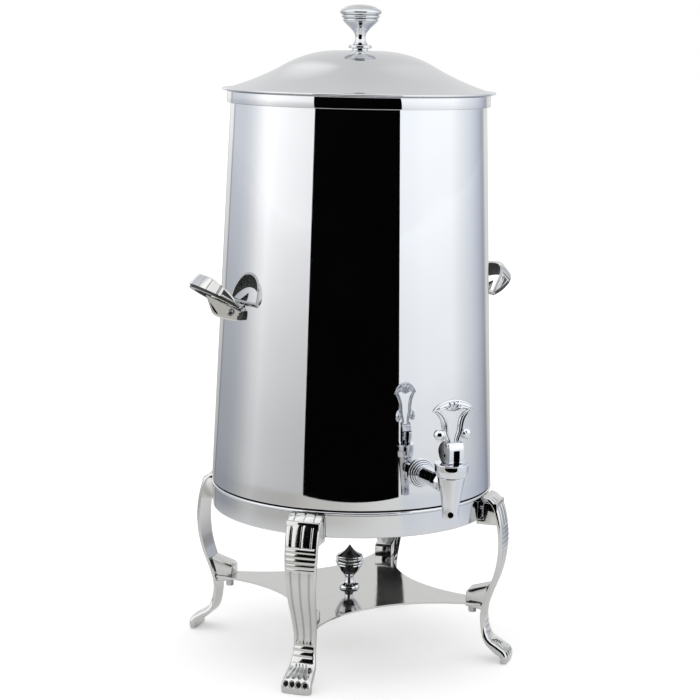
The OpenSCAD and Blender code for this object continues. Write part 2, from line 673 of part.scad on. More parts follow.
module handle_loop(side) {
  color([0.8, 0.8, 0.8]) difference() {
    union() {
      handle_place(side) rotate([0, -handle_tilt, 0]) difference() {
        union() {
          loop_band();
          // Crossbar between the arms and the neck behind it
          translate([loop_root, -loop_in_r - 1, 0])
            cube([loop_bar - loop_root, 2 * loop_in_r + 2, handle_root_h + 1.6]);
          translate([tongue_in - 1, -neck_half_v, 0])
            cube([loop_bar - tongue_in, 2 * neck_half_v, handle_root_h]);
        }
        rotate([90, 0, 0]) translate([0, 0, -2 * handle_r]) linear_extrude(4 * handle_r)
          polygon(concat([[-over, handle_root_h]], band_top,
            [[0.8 * loop_front, 2 * handle_front_h], [-over, 2 * handle_front_h]]));
      }
      tongue(side, 0, handle_root_h / 2);
    }
    shell_core(flange_t + seam, handle_z - reach_z, handle_z + reach_z);
    handle_place(side) for (v = [-1, 1]) side_screw_place(v)
      translate([0, 0, -over]) cylinder(r = side_screw_r + fit, h = side_screw_l + over + 0.5);
  }
}

module handle_side_screws() {
  color([0.6, 0.6, 0.62]) for (side = [-1, 1], v = [-1, 1])
    handle_place(side) side_screw_place(v)
      screw(side_screw_r, side_screw_l - 0.5, 2 * side_screw_r, side_screw_head_h, 32);
}

module bracket_bolts() {
  color([0.6, 0.6, 0.62]) for (side = [-1, 1], v = [-1, 1]) bracket_bolt_place(side, v)
    screw(bracket_bolt_r, bracket_bolt_l - 0.5, 1.8 * bracket_bolt_r, 3, 6);
}

// ---------- Tap ----------

tap_wall_r = shell_r(tap_z);
tap_y = -(tap_wall_r + tap_reach);
seat_z = tap_z - seat_drop;
cone_z1 = tap_z + 9;
cone_z0 = cone_z1 - cone_h;
outlet_z = cone_z0 - spout_h;
vent_z = outlet_z + 0.4 * spout_h;
neck_r = cone_r - 0.8;
neck_z1 = cone_z1 + 8;
bonnet_z0 = cone_z1 + 0.8;
bonnet_round = 1.5;
bonnet_z1 = bonnet_z0 + bonnet_h;
bonnet_roof = 5;
disc_h = 2;
spacer_r = shank_thread_r + 3;
gasket_r = shank_thread_r + 4;
gasket_t = 1.5;
escutcheon_t = 7;
escutcheon_y = -(tap_wall_r + gasket_t + escutcheon_t);
nut_t = 6;
tap_span = 40;
inner_wall_r = vessel_r(tap_z) - sheet;
thread_end = inner_wall_r - gasket_t - nut_t - 2;

module tap_body() {
  color([0.82, 0.82, 0.83]) difference() {
    union() {
      translate([0, tap_y, 0]) turned([[0, outlet_z], [spout_r, outlet_z], [spout_r, cone_z0],
        [cone_r, cone_z1], [neck_r, cone_z1 + 0.5], [neck_r, neck_z1], [0, neck_z1]]);
      bar_y(shank_r, tap_y, escutcheon_y, tap_z);
      bar_y(shank_r + 0.4, tap_y, tap_y + cone_r + 2, tap_z);
      bar_y(shank_thread_r, tap_y, -thread_end, tap_z);
    }
    translate([0, tap_y, outlet_z - over]) cylinder(r = outlet_r, h = seat_z - outlet_z + 2 * over);
    translate([0, tap_y, seat_z]) cylinder(r = chamber_r, h = neck_z1 - seat_z + over);
    bar_y(waterway_r, tap_y, -thread_end + over, tap_z);
    translate([0, tap_y, 0]) rotate([0, 0, -vent_turn]) bar_y(vent_r, -spout_r - over, 0, vent_z);
  }
}

// Stepped rings that cover the hole in the shell
module tap_escutcheon() {
  color([0.84, 0.84, 0.85]) difference() {
    union() {
      bar_y(1.68 * shank_r, escutcheon_y + 4.6, -tap_wall_r + 4, tap_z);
      bar_y(1.45 * shank_r, escutcheon_y + 2.3, -tap_wall_r, tap_z);
      bar_y(1.18 * shank_r, escutcheon_y + fit, -tap_wall_r, tap_z);
    }
    shell_core(fit, tap_z - tap_span, tap_z + tap_span);
    bar_y(shank_thread_r + fit, escutcheon_y - over, -tap_wall_r + 10, tap_z);
    bar_y(gasket_r + fit, -tap_wall_r - gasket_t - fit, -tap_wall_r + 10, tap_z);
  }
}

module outer_gasket() {
  color([0.9, 0.9, 0.88]) difference() {
    bar_y(gasket_r, -tap_wall_r - gasket_t, -tap_wall_r + 2, tap_z);
    shell_core(fit, tap_z - tap_span, tap_z + tap_span);
    bar_y(shank_thread_r + fit, -tap_wall_r - 10, -tap_wall_r + 10, tap_z);
  }
}

// Tube that keeps the two walls apart where the shank is tightened through them
module wall_spacer() {
  color([0.7, 0.7, 0.7]) difference() {
    intersection() {
      bar_y(spacer_r, -tap_wall_r, -inner_wall_r, tap_z);
      shell_core(-sheet - fit, tap_z - tap_span, tap_z + tap_span);
    }
    shell_core(-wall_space + fit, tap_z - tap_span - over, tap_z + tap_span + over);
    bar_y(shank_thread_r + fit, -tap_wall_r - over, -inner_wall_r + over, tap_z);
  }
}

module inner_gasket() {
  color([0.9, 0.9, 0.88]) difference() {
    intersection() {
      bar_y(gasket_r, -inner_wall_r - 2, -inner_wall_r + gasket_t, tap_z);
      shell_core(-wall_space - sheet - fit, tap_z - tap_span, tap_z + tap_span);
    }
    bar_y(shank_thread_r + fit, -inner_wall_r - 10, -inner_wall_r + 10, tap_z);
  }
}

module shank_locknut() {
  color([0.75, 0.75, 0.75]) translate([0, -inner_wall_r + gasket_t + fit, tap_z]) rotate([-90, 0, 0])
    difference() {
      cylinder(r = gasket_r + 1.5, h = nut_t, $fn = 6);
      translate([0, 0, -over]) cylinder(r = shank_thread_r + fit, h = nut_t + 2 * over);
    }
}

seal_h = 2;
seal_wall = 1.8;
seal_z = bonnet_z1 - bonnet_roof + 1.2;

module tap_bonnet() {
  bore_r = stem_r + slip;
  seal_out = stem_r + slip + seal_wall + fit;
  color([0.84, 0.84, 0.85]) translate([0, tap_y, 0]) turned(concat(
    [[neck_r + fit, bonnet_z0]],
    arc([bonnet_r - bonnet_round, bonnet_z0 + bonnet_round], bonnet_round, -90, 0, 5),
    [[bonnet_r, bonnet_z1 - disc_h],
    [bonnet_disc_r - 0.6, bonnet_z1 - disc_h], [bonnet_disc_r, bonnet_z1 - disc_h + 0.6],
    [bonnet_disc_r, bonnet_z1 - 0.7], [bonnet_disc_r - 1.5, bonnet_z1], [bore_r, bonnet_z1],
    [bore_r, seal_z + seal_h + fit], [seal_out, seal_z + seal_h + fit], [seal_out, seal_z - fit],
    [bore_r, seal_z - fit], [bore_r, bonnet_z1 - bonnet_roof],
    [chamber_r, bonnet_z1 - bonnet_roof], [chamber_r, neck_z1 + fit], [neck_r + fit, neck_z1 + fit]]));
}

module stem_seal() {
  color([0.3, 0.3, 0.3]) translate([0, tap_y, seal_z]) difference() {
    cylinder(r = stem_r + slip + seal_wall, h = seal_h);
    translate([0, 0, -over]) cylinder(r = stem_r + slip, h = seal_h + 2 * over);
  }
}

cup_r = chamber_r - 0.9;
cup_h = 8;
cup_z0 = seat_z + contact;
collar_r = cup_r - 0.4;
collar_h = 1.6;
bulb_r = 4.4;
stem_neck_r = stem_r - 0.8;
pin_z = bonnet_z1 + pin_rise;
stem_top = pin_z + 5;

module tap_stem() {
  collar_z = cup_z0 + cup_h;
  color([0.8, 0.8, 0.8]) translate([0, tap_y, 0]) difference() {
    turned([[0, collar_z - 6], [bulb_r, collar_z - 5.4], [bulb_r, collar_z - 3.4],
      [stem_neck_r, collar_z - 2.2], [stem_neck_r, collar_z], [collar_r, collar_z],
      [collar_r, collar_z + collar_h], [stem_r, collar_z + collar_h],
      [stem_r, stem_top - 0.8], [stem_neck_r, stem_top], [0, stem_top]]);
    translate([-stem_r - over, 0, pin_z]) rotate([0, 90, 0])
      cylinder(r = pin_r + slip, h = 2 * stem_r + 2 * over);
  }
}

// Silicone cup that closes the outlet, snapped over the bulb of the stem
module seat_cup() {
  top = cup_z0 + cup_h;
  color([0.92, 0.92, 0.9]) translate([0, tap_y, 0]) turned([
    [0, cup_z0], [cup_r - 0.8, cup_z0], [cup_r, cup_z0 + 0.8], [cup_r, top - fit],
    [stem_neck_r + fit, top - fit], [stem_neck_r + fit, top - 2.2 + fit],
    [bulb_r + fit, top - 3.4 + fit], [bulb_r + fit, top - 5.4 - fit],
    [0, top - 6 - fit]]);
}

spring_z0 = cup_z0 + cup_h + collar_h + fit;
spring_z1 = bonnet_z1 - bonnet_roof - fit;
spring_r = (stem_r + chamber_r) / 2;

// A coil of round wire, as a row of rings that lean from one turn to the next
module return_spring() {
  steps = 14;
  ring_n = 6;
  rows = spring_turns * steps;
  rise = spring_z1 - spring_z0 - 2 * spring_wire_r;
  points = [for (i = [0:rows], k = [0:ring_n - 1])
    let (a = 360 * i / steps, b = 360 * k / ring_n, r = spring_r + spring_wire_r * cos(b),
      z = spring_z0 + spring_wire_r + rise * i / rows)
    [r * cos(a), r * sin(a), z + spring_wire_r * sin(b)]];
  sides = [for (i = [0:rows - 1], k = [0:ring_n - 1])
    let (j = (k + 1) % ring_n) [i * ring_n + k, i * ring_n + j, (i + 1) * ring_n + j, (i + 1) * ring_n + k]];
  color([0.7, 0.7, 0.72]) translate([0, tap_y, 0]) polyhedron(points,
    concat([[for (k = [ring_n - 1:-1:0]) k]], sides, [[for (k = [0:ring_n - 1]) rows * ring_n + k]]));
}

// ---------- Lever ----------

// The cam under the fork is an involute: every degree of pull lifts the pin by the same amount
cam_rate = stem_lift / (lever_angle * PI / 180);
cam_low = pin_rise - contact;
function cam_reach(a) = cam_low + stem_lift * a / lever_angle;
function cam_point(a) =
  [cam_reach(a) * sin(a) + cam_rate * cos(a), -cam_reach(a) * cos(a) + cam_rate * sin(a)];
fork_back = 13;
saddle_low = 7;
saddle_top = 14.5;

// Side view of the fork, in [distance forward of the pin, height above the pin]
fork_side = concat(
  [[-0.45 * fork_back, -cam_low]],
  [for (i = [0:10]) cam_point(lever_angle * i / 10)],
  smooth([cam_point(lever_angle), [0.95 * fork_back, 0.1 * saddle_top], [0.93 * fork_back, 0.55 * saddle_top],
    [0.75 * fork_back, 0.87 * saddle_top], [0.35 * fork_back, saddle_top], [-0.25 * fork_back, saddle_top],
    [-0.72 * fork_back, 0.7 * saddle_top], [-fork_back, 0.25 * saddle_top],
    [-0.85 * fork_back, -0.2 * saddle_top], [-0.45 * fork_back, -cam_low]], 4));

// Front view of the fan handle above the fork
bow_rise = 12.3;
tip_h = fan_h - bow_rise;
bow_r = (fan_half_w * fan_half_w + bow_rise * bow_rise) / (2 * bow_rise);
under_r = 70;
under_h = fan_h - 10;
strand_r = 20.8;
strand_w = 5.4;
strand_c = [fan_half_w + 11, tip_h - 17.7];
ball_at = [15.3, 23.5];
neck_half_w = 7;

module fan_front() {
  // Bowed top, thick in the middle and thin at its tips
  difference() {
    translate([0, fan_h - bow_r]) circle(r = bow_r);
    translate([0, under_h - under_r]) circle(r = under_r);
    translate([-2 * fan_half_w, tip_h - 4 * fan_half_w]) square([4 * fan_half_w, 4 * fan_half_w - 0.6]);
  }
  for (side = [-1, 1]) {
    // Hollow-curved side strand
    intersection() {
      difference() {
        translate([side * strand_c[0], strand_c[1]]) circle(r = strand_r + strand_w);
        translate([side * strand_c[0], strand_c[1]]) circle(r = strand_r);
      }
      translate([side > 0 ? 0 : -fan_half_w, strand_c[1] - 2])
        square([fan_half_w, tip_h - strand_c[1] + 2.4]);
    }
    // Foot of the strand, down to the saddle
    strand_in = strand_c[0] - strand_r - strand_w;
    polygon([[side * strand_in, strand_c[1] + 1], [side * (strand_in + strand_w), strand_c[1] + 1],
      [side * neck_half_w, saddle_top - 2], [side * 2, saddle_top - 2]]);
  }
}

leaf_root = 8;

// Pointed leaf that stands up from its root
module leaf(length, half_w) {
  polygon(concat([for (i = [0:8]) [half_w * sin(180 * i / 8), length * i / 8]],
    [for (i = [7:-1:1]) [-half_w * sin(180 * i / 8), length * i / 8]]));
}

module tap_lever() {
  color([0.85, 0.85, 0.86]) translate([0, tap_y, pin_z]) difference() {
    union() {
      translate([-fork_w / 2, 0, 0]) rotate([90, 0, 90]) linear_extrude(fork_w)
        polygon([for (p = fork_side) [-p[0], p[1]]]);
      translate([0, fan_t / 2, 0]) rotate([90, 0, 0]) linear_extrude(fan_t) fan_front();
      for (side = [-1, 1]) translate([side * ball_at[0], 0, ball_at[1]]) sphere(r = ball_r);
      // Leaves in the middle of the bow
      translate([0, fan_t / 2 + 0.8, fan_h - leaf_root - 3]) rotate([90, 0, 0]) linear_extrude(fan_t + 1.6)
        for (a = [-50, -25, 0, 25, 50]) rotate([0, 0, a]) leaf(leaf_root + 3, 1.5);
    }
    // Slot for the stem, open at the front and the back
    translate([-fork_slot / 2, -2 * fork_back, -2 * fork_back])
      cube([fork_slot, 4 * fork_back, 2 * fork_back + saddle_low]);
    translate([-fork_w, 0, 0]) rotate([0, 90, 0]) cylinder(r = pin_r + fit, h = 2 * fork_w);
  }
}

module lever_pin() {
  color([0.6, 0.6, 0.62]) translate([-fork_w / 2 + 0.2, tap_y, pin_z]) rotate([0, 90, 0])
    cylinder(r = pin_r, h = fork_w - 0.4);
}

// ---------- Lid ----------

roll_z = band_z1 + lid_roll_r + contact;
roll_at_r = lid_r - lid_roll_r;
lid_top = roll_z + lid_rise;
flare_in_r = roll_at_r - 0.5;
// The dome and the flare are two arcs that share one slope; these radii make them meet
rise_per_dome = 1 - cos(lid_slope);
rise_per_flare = cos(lid_rim_slope) - cos(lid_slope);
run_per_flare = sin(lid_slope) - sin(lid_rim_slope);
lid_run = flare_in_r - lid_flat_r;
dome_r = (lid_rise - lid_run * rise_per_flare / run_per_flare)
  / (rise_per_dome - sin(lid_slope) * rise_per_flare / run_per_flare);
flare_r = (lid_run - dome_r * sin(lid_slope)) / run_per_flare;

// Side of the lid from its flat to its rim, drop below the outer face
function lid_line(drop) = concat(
  arc([lid_flat_r, lid_top - dome_r], dome_r - drop, 90, 90 - lid_slope, 10),
  arc([lid_flat_r, lid_top - dome_r] + (dome_r + flare_r) * [sin(lid_slope), cos(lid_slope)],
    flare_r + drop, 270 - lid_slope, 270 - lid_rim_slope, 10));

module lid_shell() {
  color([0.84, 0.85, 0.86]) difference() {
    union() {
      turned(concat([[0, lid_top]], lid_line(0), reversed(lid_line(sheet)), [[0, lid_top - sheet]]));
      turned(arc([roll_at_r, roll_z], lid_roll_r, 0, 345, 15));
    }
    translate([0, 0, lid_top - 5]) cylinder(r = knob_screw_r + fit, h = 10);
  }
}

liner_r = vessel_r(band_z1) - sheet - liner_clear;

module lid_liner() {
  edge_r = flare_in_r - (sheet + fit) / tan(lid_rim_slope);
  color([0.75, 0.75, 0.75]) turned([
    [0, band_z1 - liner_depth], [liner_r - 1.5, band_z1 - liner_depth],
    [liner_r, band_z1 - liner_depth + 1.5],
    [liner_r, band_z1], [edge_r, band_z1], [edge_r, band_z1 + sheet], [liner_r - sheet, band_z1 + sheet],
    [liner_r - sheet, band_z1 - liner_depth + 2],
    [liner_r - sheet - 1, band_z1 - liner_depth + sheet],
    [0, band_z1 - liner_depth + sheet]]);
}

collar_z1 = lid_top + knob_collar_h;
// Outline of the knob, as shares of its widest radius and of its height
knob_line = [
  [0, 0], [0.36, 0.01], [0.3, 0.06], [0.25, 0.12], [0.25, 0.22], [0.29, 0.29], [0.38, 0.35], [0.48, 0.41],
  [0.6, 0.47], [0.72, 0.53], [0.8, 0.57], [0.76, 0.6], [0.88, 0.65], [0.92, 0.69], [0.88, 0.71], [0.98, 0.77],
  [1, 0.81], [0.97, 0.85], [0.9, 0.885], [0.82, 0.9], [0.78, 0.93], [0.6, 0.965], [0.32, 0.99], [0, 1]
];
knob_screw_depth = 16;

module lid_knob() {
  color([0.85, 0.86, 0.87]) difference() {
    translate([0, 0, collar_z1]) turned([for (p = knob_line) [p[0] * knob_r, p[1] * knob_h]]);
    translate([0, 0, collar_z1 - over]) cylinder(r = knob_screw_r + fit, h = knob_screw_depth + over);
  }
}

module knob_collar() {
  foot_h = 0.4 * knob_collar_h;
  color([0.82, 0.82, 0.84]) translate([0, 0, lid_top]) difference() {
    turned(concat([[0, 0], [0.72 * knob_collar_r, 0], [0.68 * knob_collar_r, foot_h]],
      arc([knob_collar_r - 1.2, foot_h + 1.2], 1.2, -90, 60, 5),
      [[0.5 * knob_collar_r, knob_collar_h], [0, knob_collar_h]]));
    translate([0, 0, -over]) cylinder(r = knob_screw_r + fit, h = knob_collar_h + 2 * over);
  }
}

module knob_screw() {
  color([0.6, 0.6, 0.62]) translate([0, 0, lid_top - sheet])
    screw(knob_screw_r, sheet + knob_collar_h + knob_screw_depth - 0.5, 2 * knob_screw_r, 2.5, 32);
}

stand_ring();
leg(leg_angles[0]);  // leg_front_right
leg(leg_angles[1]);  // leg_front_left
leg(leg_angles[2]);  // leg_back_left
leg(leg_angles[3]);  // leg_back_right
leg_screws();
shelf_plate();
shelf_bolts();
shelf_finial();
finial_screw();
outer_shell();
rim_band();
inner_vessel();
insulation_jacket();
base_pan();
handle_bracket(-1);  // handle_bracket_left
handle_bracket(1);  // handle_bracket_right
handle_loop(-1);  // handle_loop_left
handle_loop(1);  // handle_loop_right
handle_side_screws();
bracket_bolts();
tap_body();
tap_escutcheon();
outer_gasket();
wall_spacer();
inner_gasket();
shank_locknut();
tap_bonnet();
stem_seal();
tap_stem();
seat_cup();
return_spring();
tap_lever();
lever_pin();
lid_shell();
lid_liner();
lid_knob();
knob_collar();
knob_screw();
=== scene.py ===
import json
from math import acos, copysign, cos, degrees, exp, floor, hypot, pi, radians, sin, sqrt, tan

import bmesh
import bpy
from mathutils import Matrix, Vector

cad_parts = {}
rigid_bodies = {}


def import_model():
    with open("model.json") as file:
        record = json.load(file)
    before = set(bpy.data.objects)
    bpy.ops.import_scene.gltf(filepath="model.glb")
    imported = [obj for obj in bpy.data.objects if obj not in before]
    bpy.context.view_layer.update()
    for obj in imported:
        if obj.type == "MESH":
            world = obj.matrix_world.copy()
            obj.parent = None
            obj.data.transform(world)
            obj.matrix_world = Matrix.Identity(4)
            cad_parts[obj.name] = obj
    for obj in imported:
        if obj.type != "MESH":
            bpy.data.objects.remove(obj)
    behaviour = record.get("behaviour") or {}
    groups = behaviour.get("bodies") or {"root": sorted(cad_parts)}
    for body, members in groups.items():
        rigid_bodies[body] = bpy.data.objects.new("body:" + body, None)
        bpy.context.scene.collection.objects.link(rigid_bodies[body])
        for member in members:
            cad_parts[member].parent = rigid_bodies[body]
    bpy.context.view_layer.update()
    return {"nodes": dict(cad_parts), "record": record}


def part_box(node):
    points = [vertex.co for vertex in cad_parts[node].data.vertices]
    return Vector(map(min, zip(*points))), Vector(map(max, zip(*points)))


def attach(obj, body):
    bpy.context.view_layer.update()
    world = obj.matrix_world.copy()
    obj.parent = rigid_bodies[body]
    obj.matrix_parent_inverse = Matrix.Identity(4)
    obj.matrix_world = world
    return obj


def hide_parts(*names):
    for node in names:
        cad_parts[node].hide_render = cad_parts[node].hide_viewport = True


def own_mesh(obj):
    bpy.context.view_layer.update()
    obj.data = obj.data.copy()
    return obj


for leftover in list(bpy.data.objects):  # the startup file's cube, lamp and camera
    bpy.data.objects.remove(leftover)

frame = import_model()
nodes = frame["nodes"]
mm = 0.001
print("urn: frame loaded,", len(nodes), "parts")


def turnBy(turn, axis):  # degrees
    return Matrix.Rotation(radians(turn), 4, axis)


def shiftBy(x, y, z):  # millimetres
    return Matrix.Translation((x * mm, y * mm, z * mm))


def moveShape(bm, move):
    bmesh.ops.transform(bm, matrix=move, verts=bm.verts)


# Camera: a long lens from the front left, about level with the lid's knob

cameraPlace = {
    "lens": 99.827,        # on a 36 mm sensor
    "sensor": 36,
    "distance": 2.115356,  # from the urn's axis, metres
    "height": 0.686119,
    "round": -28.2,        # degrees from the tap towards the left handle
    "down": 9.409,
    "aside": -0.116,
    "roll": 1.164,
}


def placeCamera(place):
    data = bpy.data.cameras.new("photographersLens")
    data.lens = place["lens"]
    data.sensor_width = place["sensor"]
    camera = bpy.data.objects.new("photographersCamera", data)
    bpy.context.scene.collection.objects.link(camera)
    camera.matrix_world = (
        turnBy(place["round"], "Z")
        @ Matrix.Translation((0, -place["distance"], place["height"]))
        @ turnBy(-place["aside"], "Z")
        @ turnBy(90 - place["down"], "X")
        @ turnBy(place["roll"], "Z"))
    bpy.context.scene.camera = camera


placeCamera(cameraPlace)


# Materials

def colourOf(code):  # sRGB hex to the linear values that a shader wants
    parts = [int(code[i:i + 2], 16) / 255 for i in (1, 3, 5)]
    return [p / 12.92 if p <= 0.04045 else ((p + 0.055) / 1.055) ** 2.4 for p in parts] + [1]


def addNode(tree, kind, inputs=None, links=None, stops=None, **settings):
    # a node with its settings, its fixed inputs, its links in and, on a ramp, its colour stops
    node = tree.nodes.new("ShaderNode" + kind)
    for name, value in settings.items():
        setattr(node, name, value)
    for socket, value in (inputs or {}).items():
        node.inputs[socket].default_value = value
    for socket, source in (links or {}).items():
        tree.links.new(getattr(source, "outputs", [source])[0], node.inputs[socket])
    for i, (at, colour) in enumerate(stops or []):
        elements = node.color_ramp.elements
        if i == 0:
            elements.remove(elements[1])
        stop = elements[0] if i == 0 else elements.new(at)
        stop.position, stop.color = at, list(colour)[:3] + [1]
    return node


def mixColours(tree, share, low, high, blend="MIX"):  # each a fixed value or the node that gives it
    given = {0: share, 6: low, 7: high}
    fixed = {socket: value for socket, value in given.items() if isinstance(value, (int, list))}
    links = {socket: source for socket, source in given.items() if socket not in fixed}
    return addNode(tree, "Mix", fixed, links, data_type="RGBA", blend_type=blend).outputs[2]


def newFinish(name):  # an empty material with its output, and Object coordinates to paint by
    finish = bpy.data.materials.new(name)
    finish.use_nodes = True
    finish.node_tree.nodes.clear()
    tree = finish.node_tree
    place = addNode(tree, "TexCoord").outputs["Object"]
    return finish, tree, place


def closeFinish(tree, shader):
    addNode(tree, "OutputMaterial", links={"Surface": shader.outputs[0]})


unbuffedRoughness = 0.65


def polishedMetal(name, look):
    # Metal with a mirror polish: clear reflections, faint cloudy haze, fine wandering scratches, and rougher
    # metal in hollows that the buffing wheel doesn't reach, whose colour is painted dark as shade there, by
    # the shape's own attribute
    finish, tree, place = newFinish(name)
    haze = addNode(tree, "TexNoise", {"Scale": 1 / look["hazeSize"], "Detail": 3},
                   {"Vector": place})
    low, high = look["roughness"]
    rough = addNode(tree, "MapRange", {"From Min": 0.35, "From Max": 0.7, "To Min": low,
                                                 "To Max": high}, {"Value": haze})
    tint = mixColours(tree, haze, *map(colourOf, look["colours"]))
    unbuffedAndShaded = addNode(tree, "Attribute", attribute_name="unbuffedAndShaded").outputs["Fac"]
    # painted shade: the attribute takes the colour towards the finish's dark colour for hollows
    colour = mixColours(tree, unbuffedAndShaded, tint, colourOf(look["recessShade"]))
    rougher = addNode(tree, "Mix", {3: unbuffedRoughness}, {0: unbuffedAndShaded, 2: rough})
    ripple = addNode(tree, "TexNoise", {"Scale": 1 / look["rippleSize"], "Detail": 2},
                     {"Vector": place})
    bump = addNode(tree, "Bump", {"Strength": look["ripple"], "Distance": look["rippleDepth"]},
                   {"Height": ripple})
    closeFinish(tree, addNode(tree, "BsdfPrincipled", {"Metallic": 1},
                              {"Base Color": colour, "Roughness": rougher, "Normal": bump}))
    return finish


def needledWool():
    # Mineral wool mat: matt yellow-grey fibres about a tenth of a millimetre thick, drawn coarser
    # here so that they show, pressed into soft lumps
    finish, tree, place = newFinish("needledWool")
    stretch = addNode(tree, "Mapping", {"Scale": (1, 1, 5)}, {"Vector": place})
    fibre = addNode(tree, "TexNoise", {"Scale": 900, "Detail": 4, "Distortion": 1.5},
                    {"Vector": stretch})
    lump = addNode(tree, "TexNoise", {"Scale": 60, "Detail": 2}, {"Vector": place})
    height = addNode(tree, "Math", {1: 0.4}, {0: fibre, 2: lump}, operation="MULTIPLY_ADD")
    tint = mixColours(tree, fibre, colourOf("#A79E7E"), colourOf("#CFC8AC"))
    bump = addNode(tree, "Bump", {"Strength": 0.8, "Distance": 0.0012}, {"Height": height})
    closeFinish(tree, addNode(tree, "BsdfPrincipled",
                              {"Roughness": 0.95, "Specular IOR Level": 0.2, "Sheen Weight": 0.2},
                              {"Base Color": tint, "Normal": bump}))
    return finish


def mouldedSilicone():
    # Food-grade silicone: milky, soft and slightly see-into, with the fine matt texture of its mould
    finish, tree, place = newFinish("mouldedSilicone")
    grain = addNode(tree, "TexNoise", {"Scale": 2500, "Detail": 2}, {"Vector": place})
    cloud = addNode(tree, "TexNoise", {"Scale": 90, "Detail": 1}, {"Vector": place})
    tint = mixColours(tree, cloud, colourOf("#D9D8D2"), colourOf("#E9E8E4"))
    bump = addNode(tree, "Bump", {"Strength": 0.3, "Distance": 0.00005}, {"Height": grain})
    closeFinish(tree, addNode(tree, "BsdfPrincipled",
                              {"Roughness": 0.5, "IOR": 1.41, "Subsurface Weight": 0.15,
                               "Subsurface Scale": 0.002},
                              {"Base Color": tint, "Normal": bump}))
    return finish


# Each finish's dark colour for hollows is painted shade, which the shapes' attribute brings in
finishes = {
    # Stainless sheet, spun and buffed to a mirror: near-colourless, with a barely cloudy sheen
    "mirrorStainless": {"colours": ("#D8DADD", "#E0E1E3"), "recessShade": "#4A4A4B", "roughness": (0.015, 0.045),
                        "hazeSize": 0.06, "rippleSize": 0.04, "ripple": 0.02, "rippleDepth": 0.0004},
    # Cast stainless, ground and buffed by hand: a little warmer and softer than the sheet
    "buffedCasting": {"colours": ("#D1D1CF", "#D9D9D7"), "recessShade": "#2B2A28", "roughness": (0.06, 0.12),
                      "hazeSize": 0.02, "rippleSize": 0.006, "ripple": 0.06, "rippleDepth": 0.0006},
    # Stainless bar, turned and polished
    "turnedStainless": {"colours": ("#D3D4D5", "#DCDDDE"), "recessShade": "#4A4A4B", "roughness": (0.02, 0.06),
                        "hazeSize": 0.02, "rippleSize": 0.01, "ripple": 0.03, "rippleDepth": 0.0004},
    # Chrome plate over brass: the coolest and clearest of the metals
    "chromePlate": {"colours": ("#DCDEE2", "#E2E4E8"), "recessShade": "#0E0E0D", "roughness": (0.02, 0.05),
                    "hazeSize": 0.02, "rippleSize": 0.006, "ripple": 0.03, "rippleDepth": 0.0004},
    # Stainless left satin where nobody looks: inside the vessel and under the pan
    "satinSheet": {"colours": ("#C6C7C8", "#CFD0D1"), "recessShade": "#6A6A6B", "roughness": (0.28, 0.38),
                   "hazeSize": 0.03, "rippleSize": 0.001, "ripple": 0.1, "rippleDepth": 0.0002},
    # Stainless painted darker than the real sheet: painted shade for the seam over the stand
    "seamShadeSheet": {"colours": ("#4E4E4F", "#5A5A5B"), "recessShade": "#3A3A3B", "roughness": (0.3, 0.4),
                  "hazeSize": 0.03, "rippleSize": 0.001, "ripple": 0.1, "rippleDepth": 0.0002},
    # Screws and bolts as they come from the header
    "plainFastener": {"colours": ("#B9BABC", "#C4C5C7"), "recessShade": "#3A3A3B", "roughness": (0.2, 0.3),
                      "hazeSize": 0.004, "rippleSize": 0.001, "ripple": 0.1, "rippleDepth": 0.0001},
}
metals = {name: polishedMetal(name, look) for name, look in finishes.items()}

finishOfSlot = {
    "shell_steel": metals["mirrorStainless"],
    "cast_steel": metals["buffedCasting"],
    "turned_steel": metals["turnedStainless"],
    "handle_steel": metals["buffedCasting"],
    "inner_steel": metals["satinSheet"],
    "fastener_steel": metals["plainFastener"],
    "tap_chrome": metals["chromePlate"],
    "jacket_wool": needledWool(),
    "white_silicone": mouldedSilicone(),
}
for part in frame["record"]["subparts"]:
    mesh = nodes[part["node"]].data
    mesh.materials.clear()
    # the pan under the shell takes the dark sheet as painted shade in the gap over the stand
    mesh.materials.append(metals["seamShadeSheet"] if part["node"] == "base_pan"
                          else finishOfSlot[part["material_slot"]])
print("urn: finishes ready,", len(metals) + 2)


# Shapes

def smoothLine(points, steps):  # a curve through every point, with steps points to each stretch
    line = []
    for i in range(len(points) - 1):
        before, start, end, after = (points[max(i - 1, 0)], points[i], points[i + 1],
                                     points[min(i + 2, len(points) - 1)])
        for s in range(steps):
            t = s / steps
            line.append(tuple(0.5 * (2 * b + (c - a) * t + (2 * a - 5 * b + 4 * c - d) * t * t
                                     + (3 * b - a - 3 * c + d) * t ** 3)
                              for a, b, c, d in zip(before, start, end, after)))
    return line + [tuple(points[-1])]


def arcLine(centre, radius, start, end, count):
    turns = [radians(start + (end - start) * i / count) for i in range(count + 1)]
    return [(centre[0] + radius * cos(t), centre[1] + radius * sin(t)) for t in turns]


def readLine(line, x):  # the height of a line of points at x, with x rising along it
    if x <= line[0][0]:
        return line[0][1]
    for (x0, y0), (x1, y1) in zip(line, line[1:]):
        if x <= x1:
            return y0 + (y1 - y0) * (x - x0) / max(x1 - x0, 1e-9)
    return line[-1][1]


def ease(x):  # 0 to 1 without a corner
    x = min(max(x, 0), 1)
    return x * x * (3 - 2 * x)


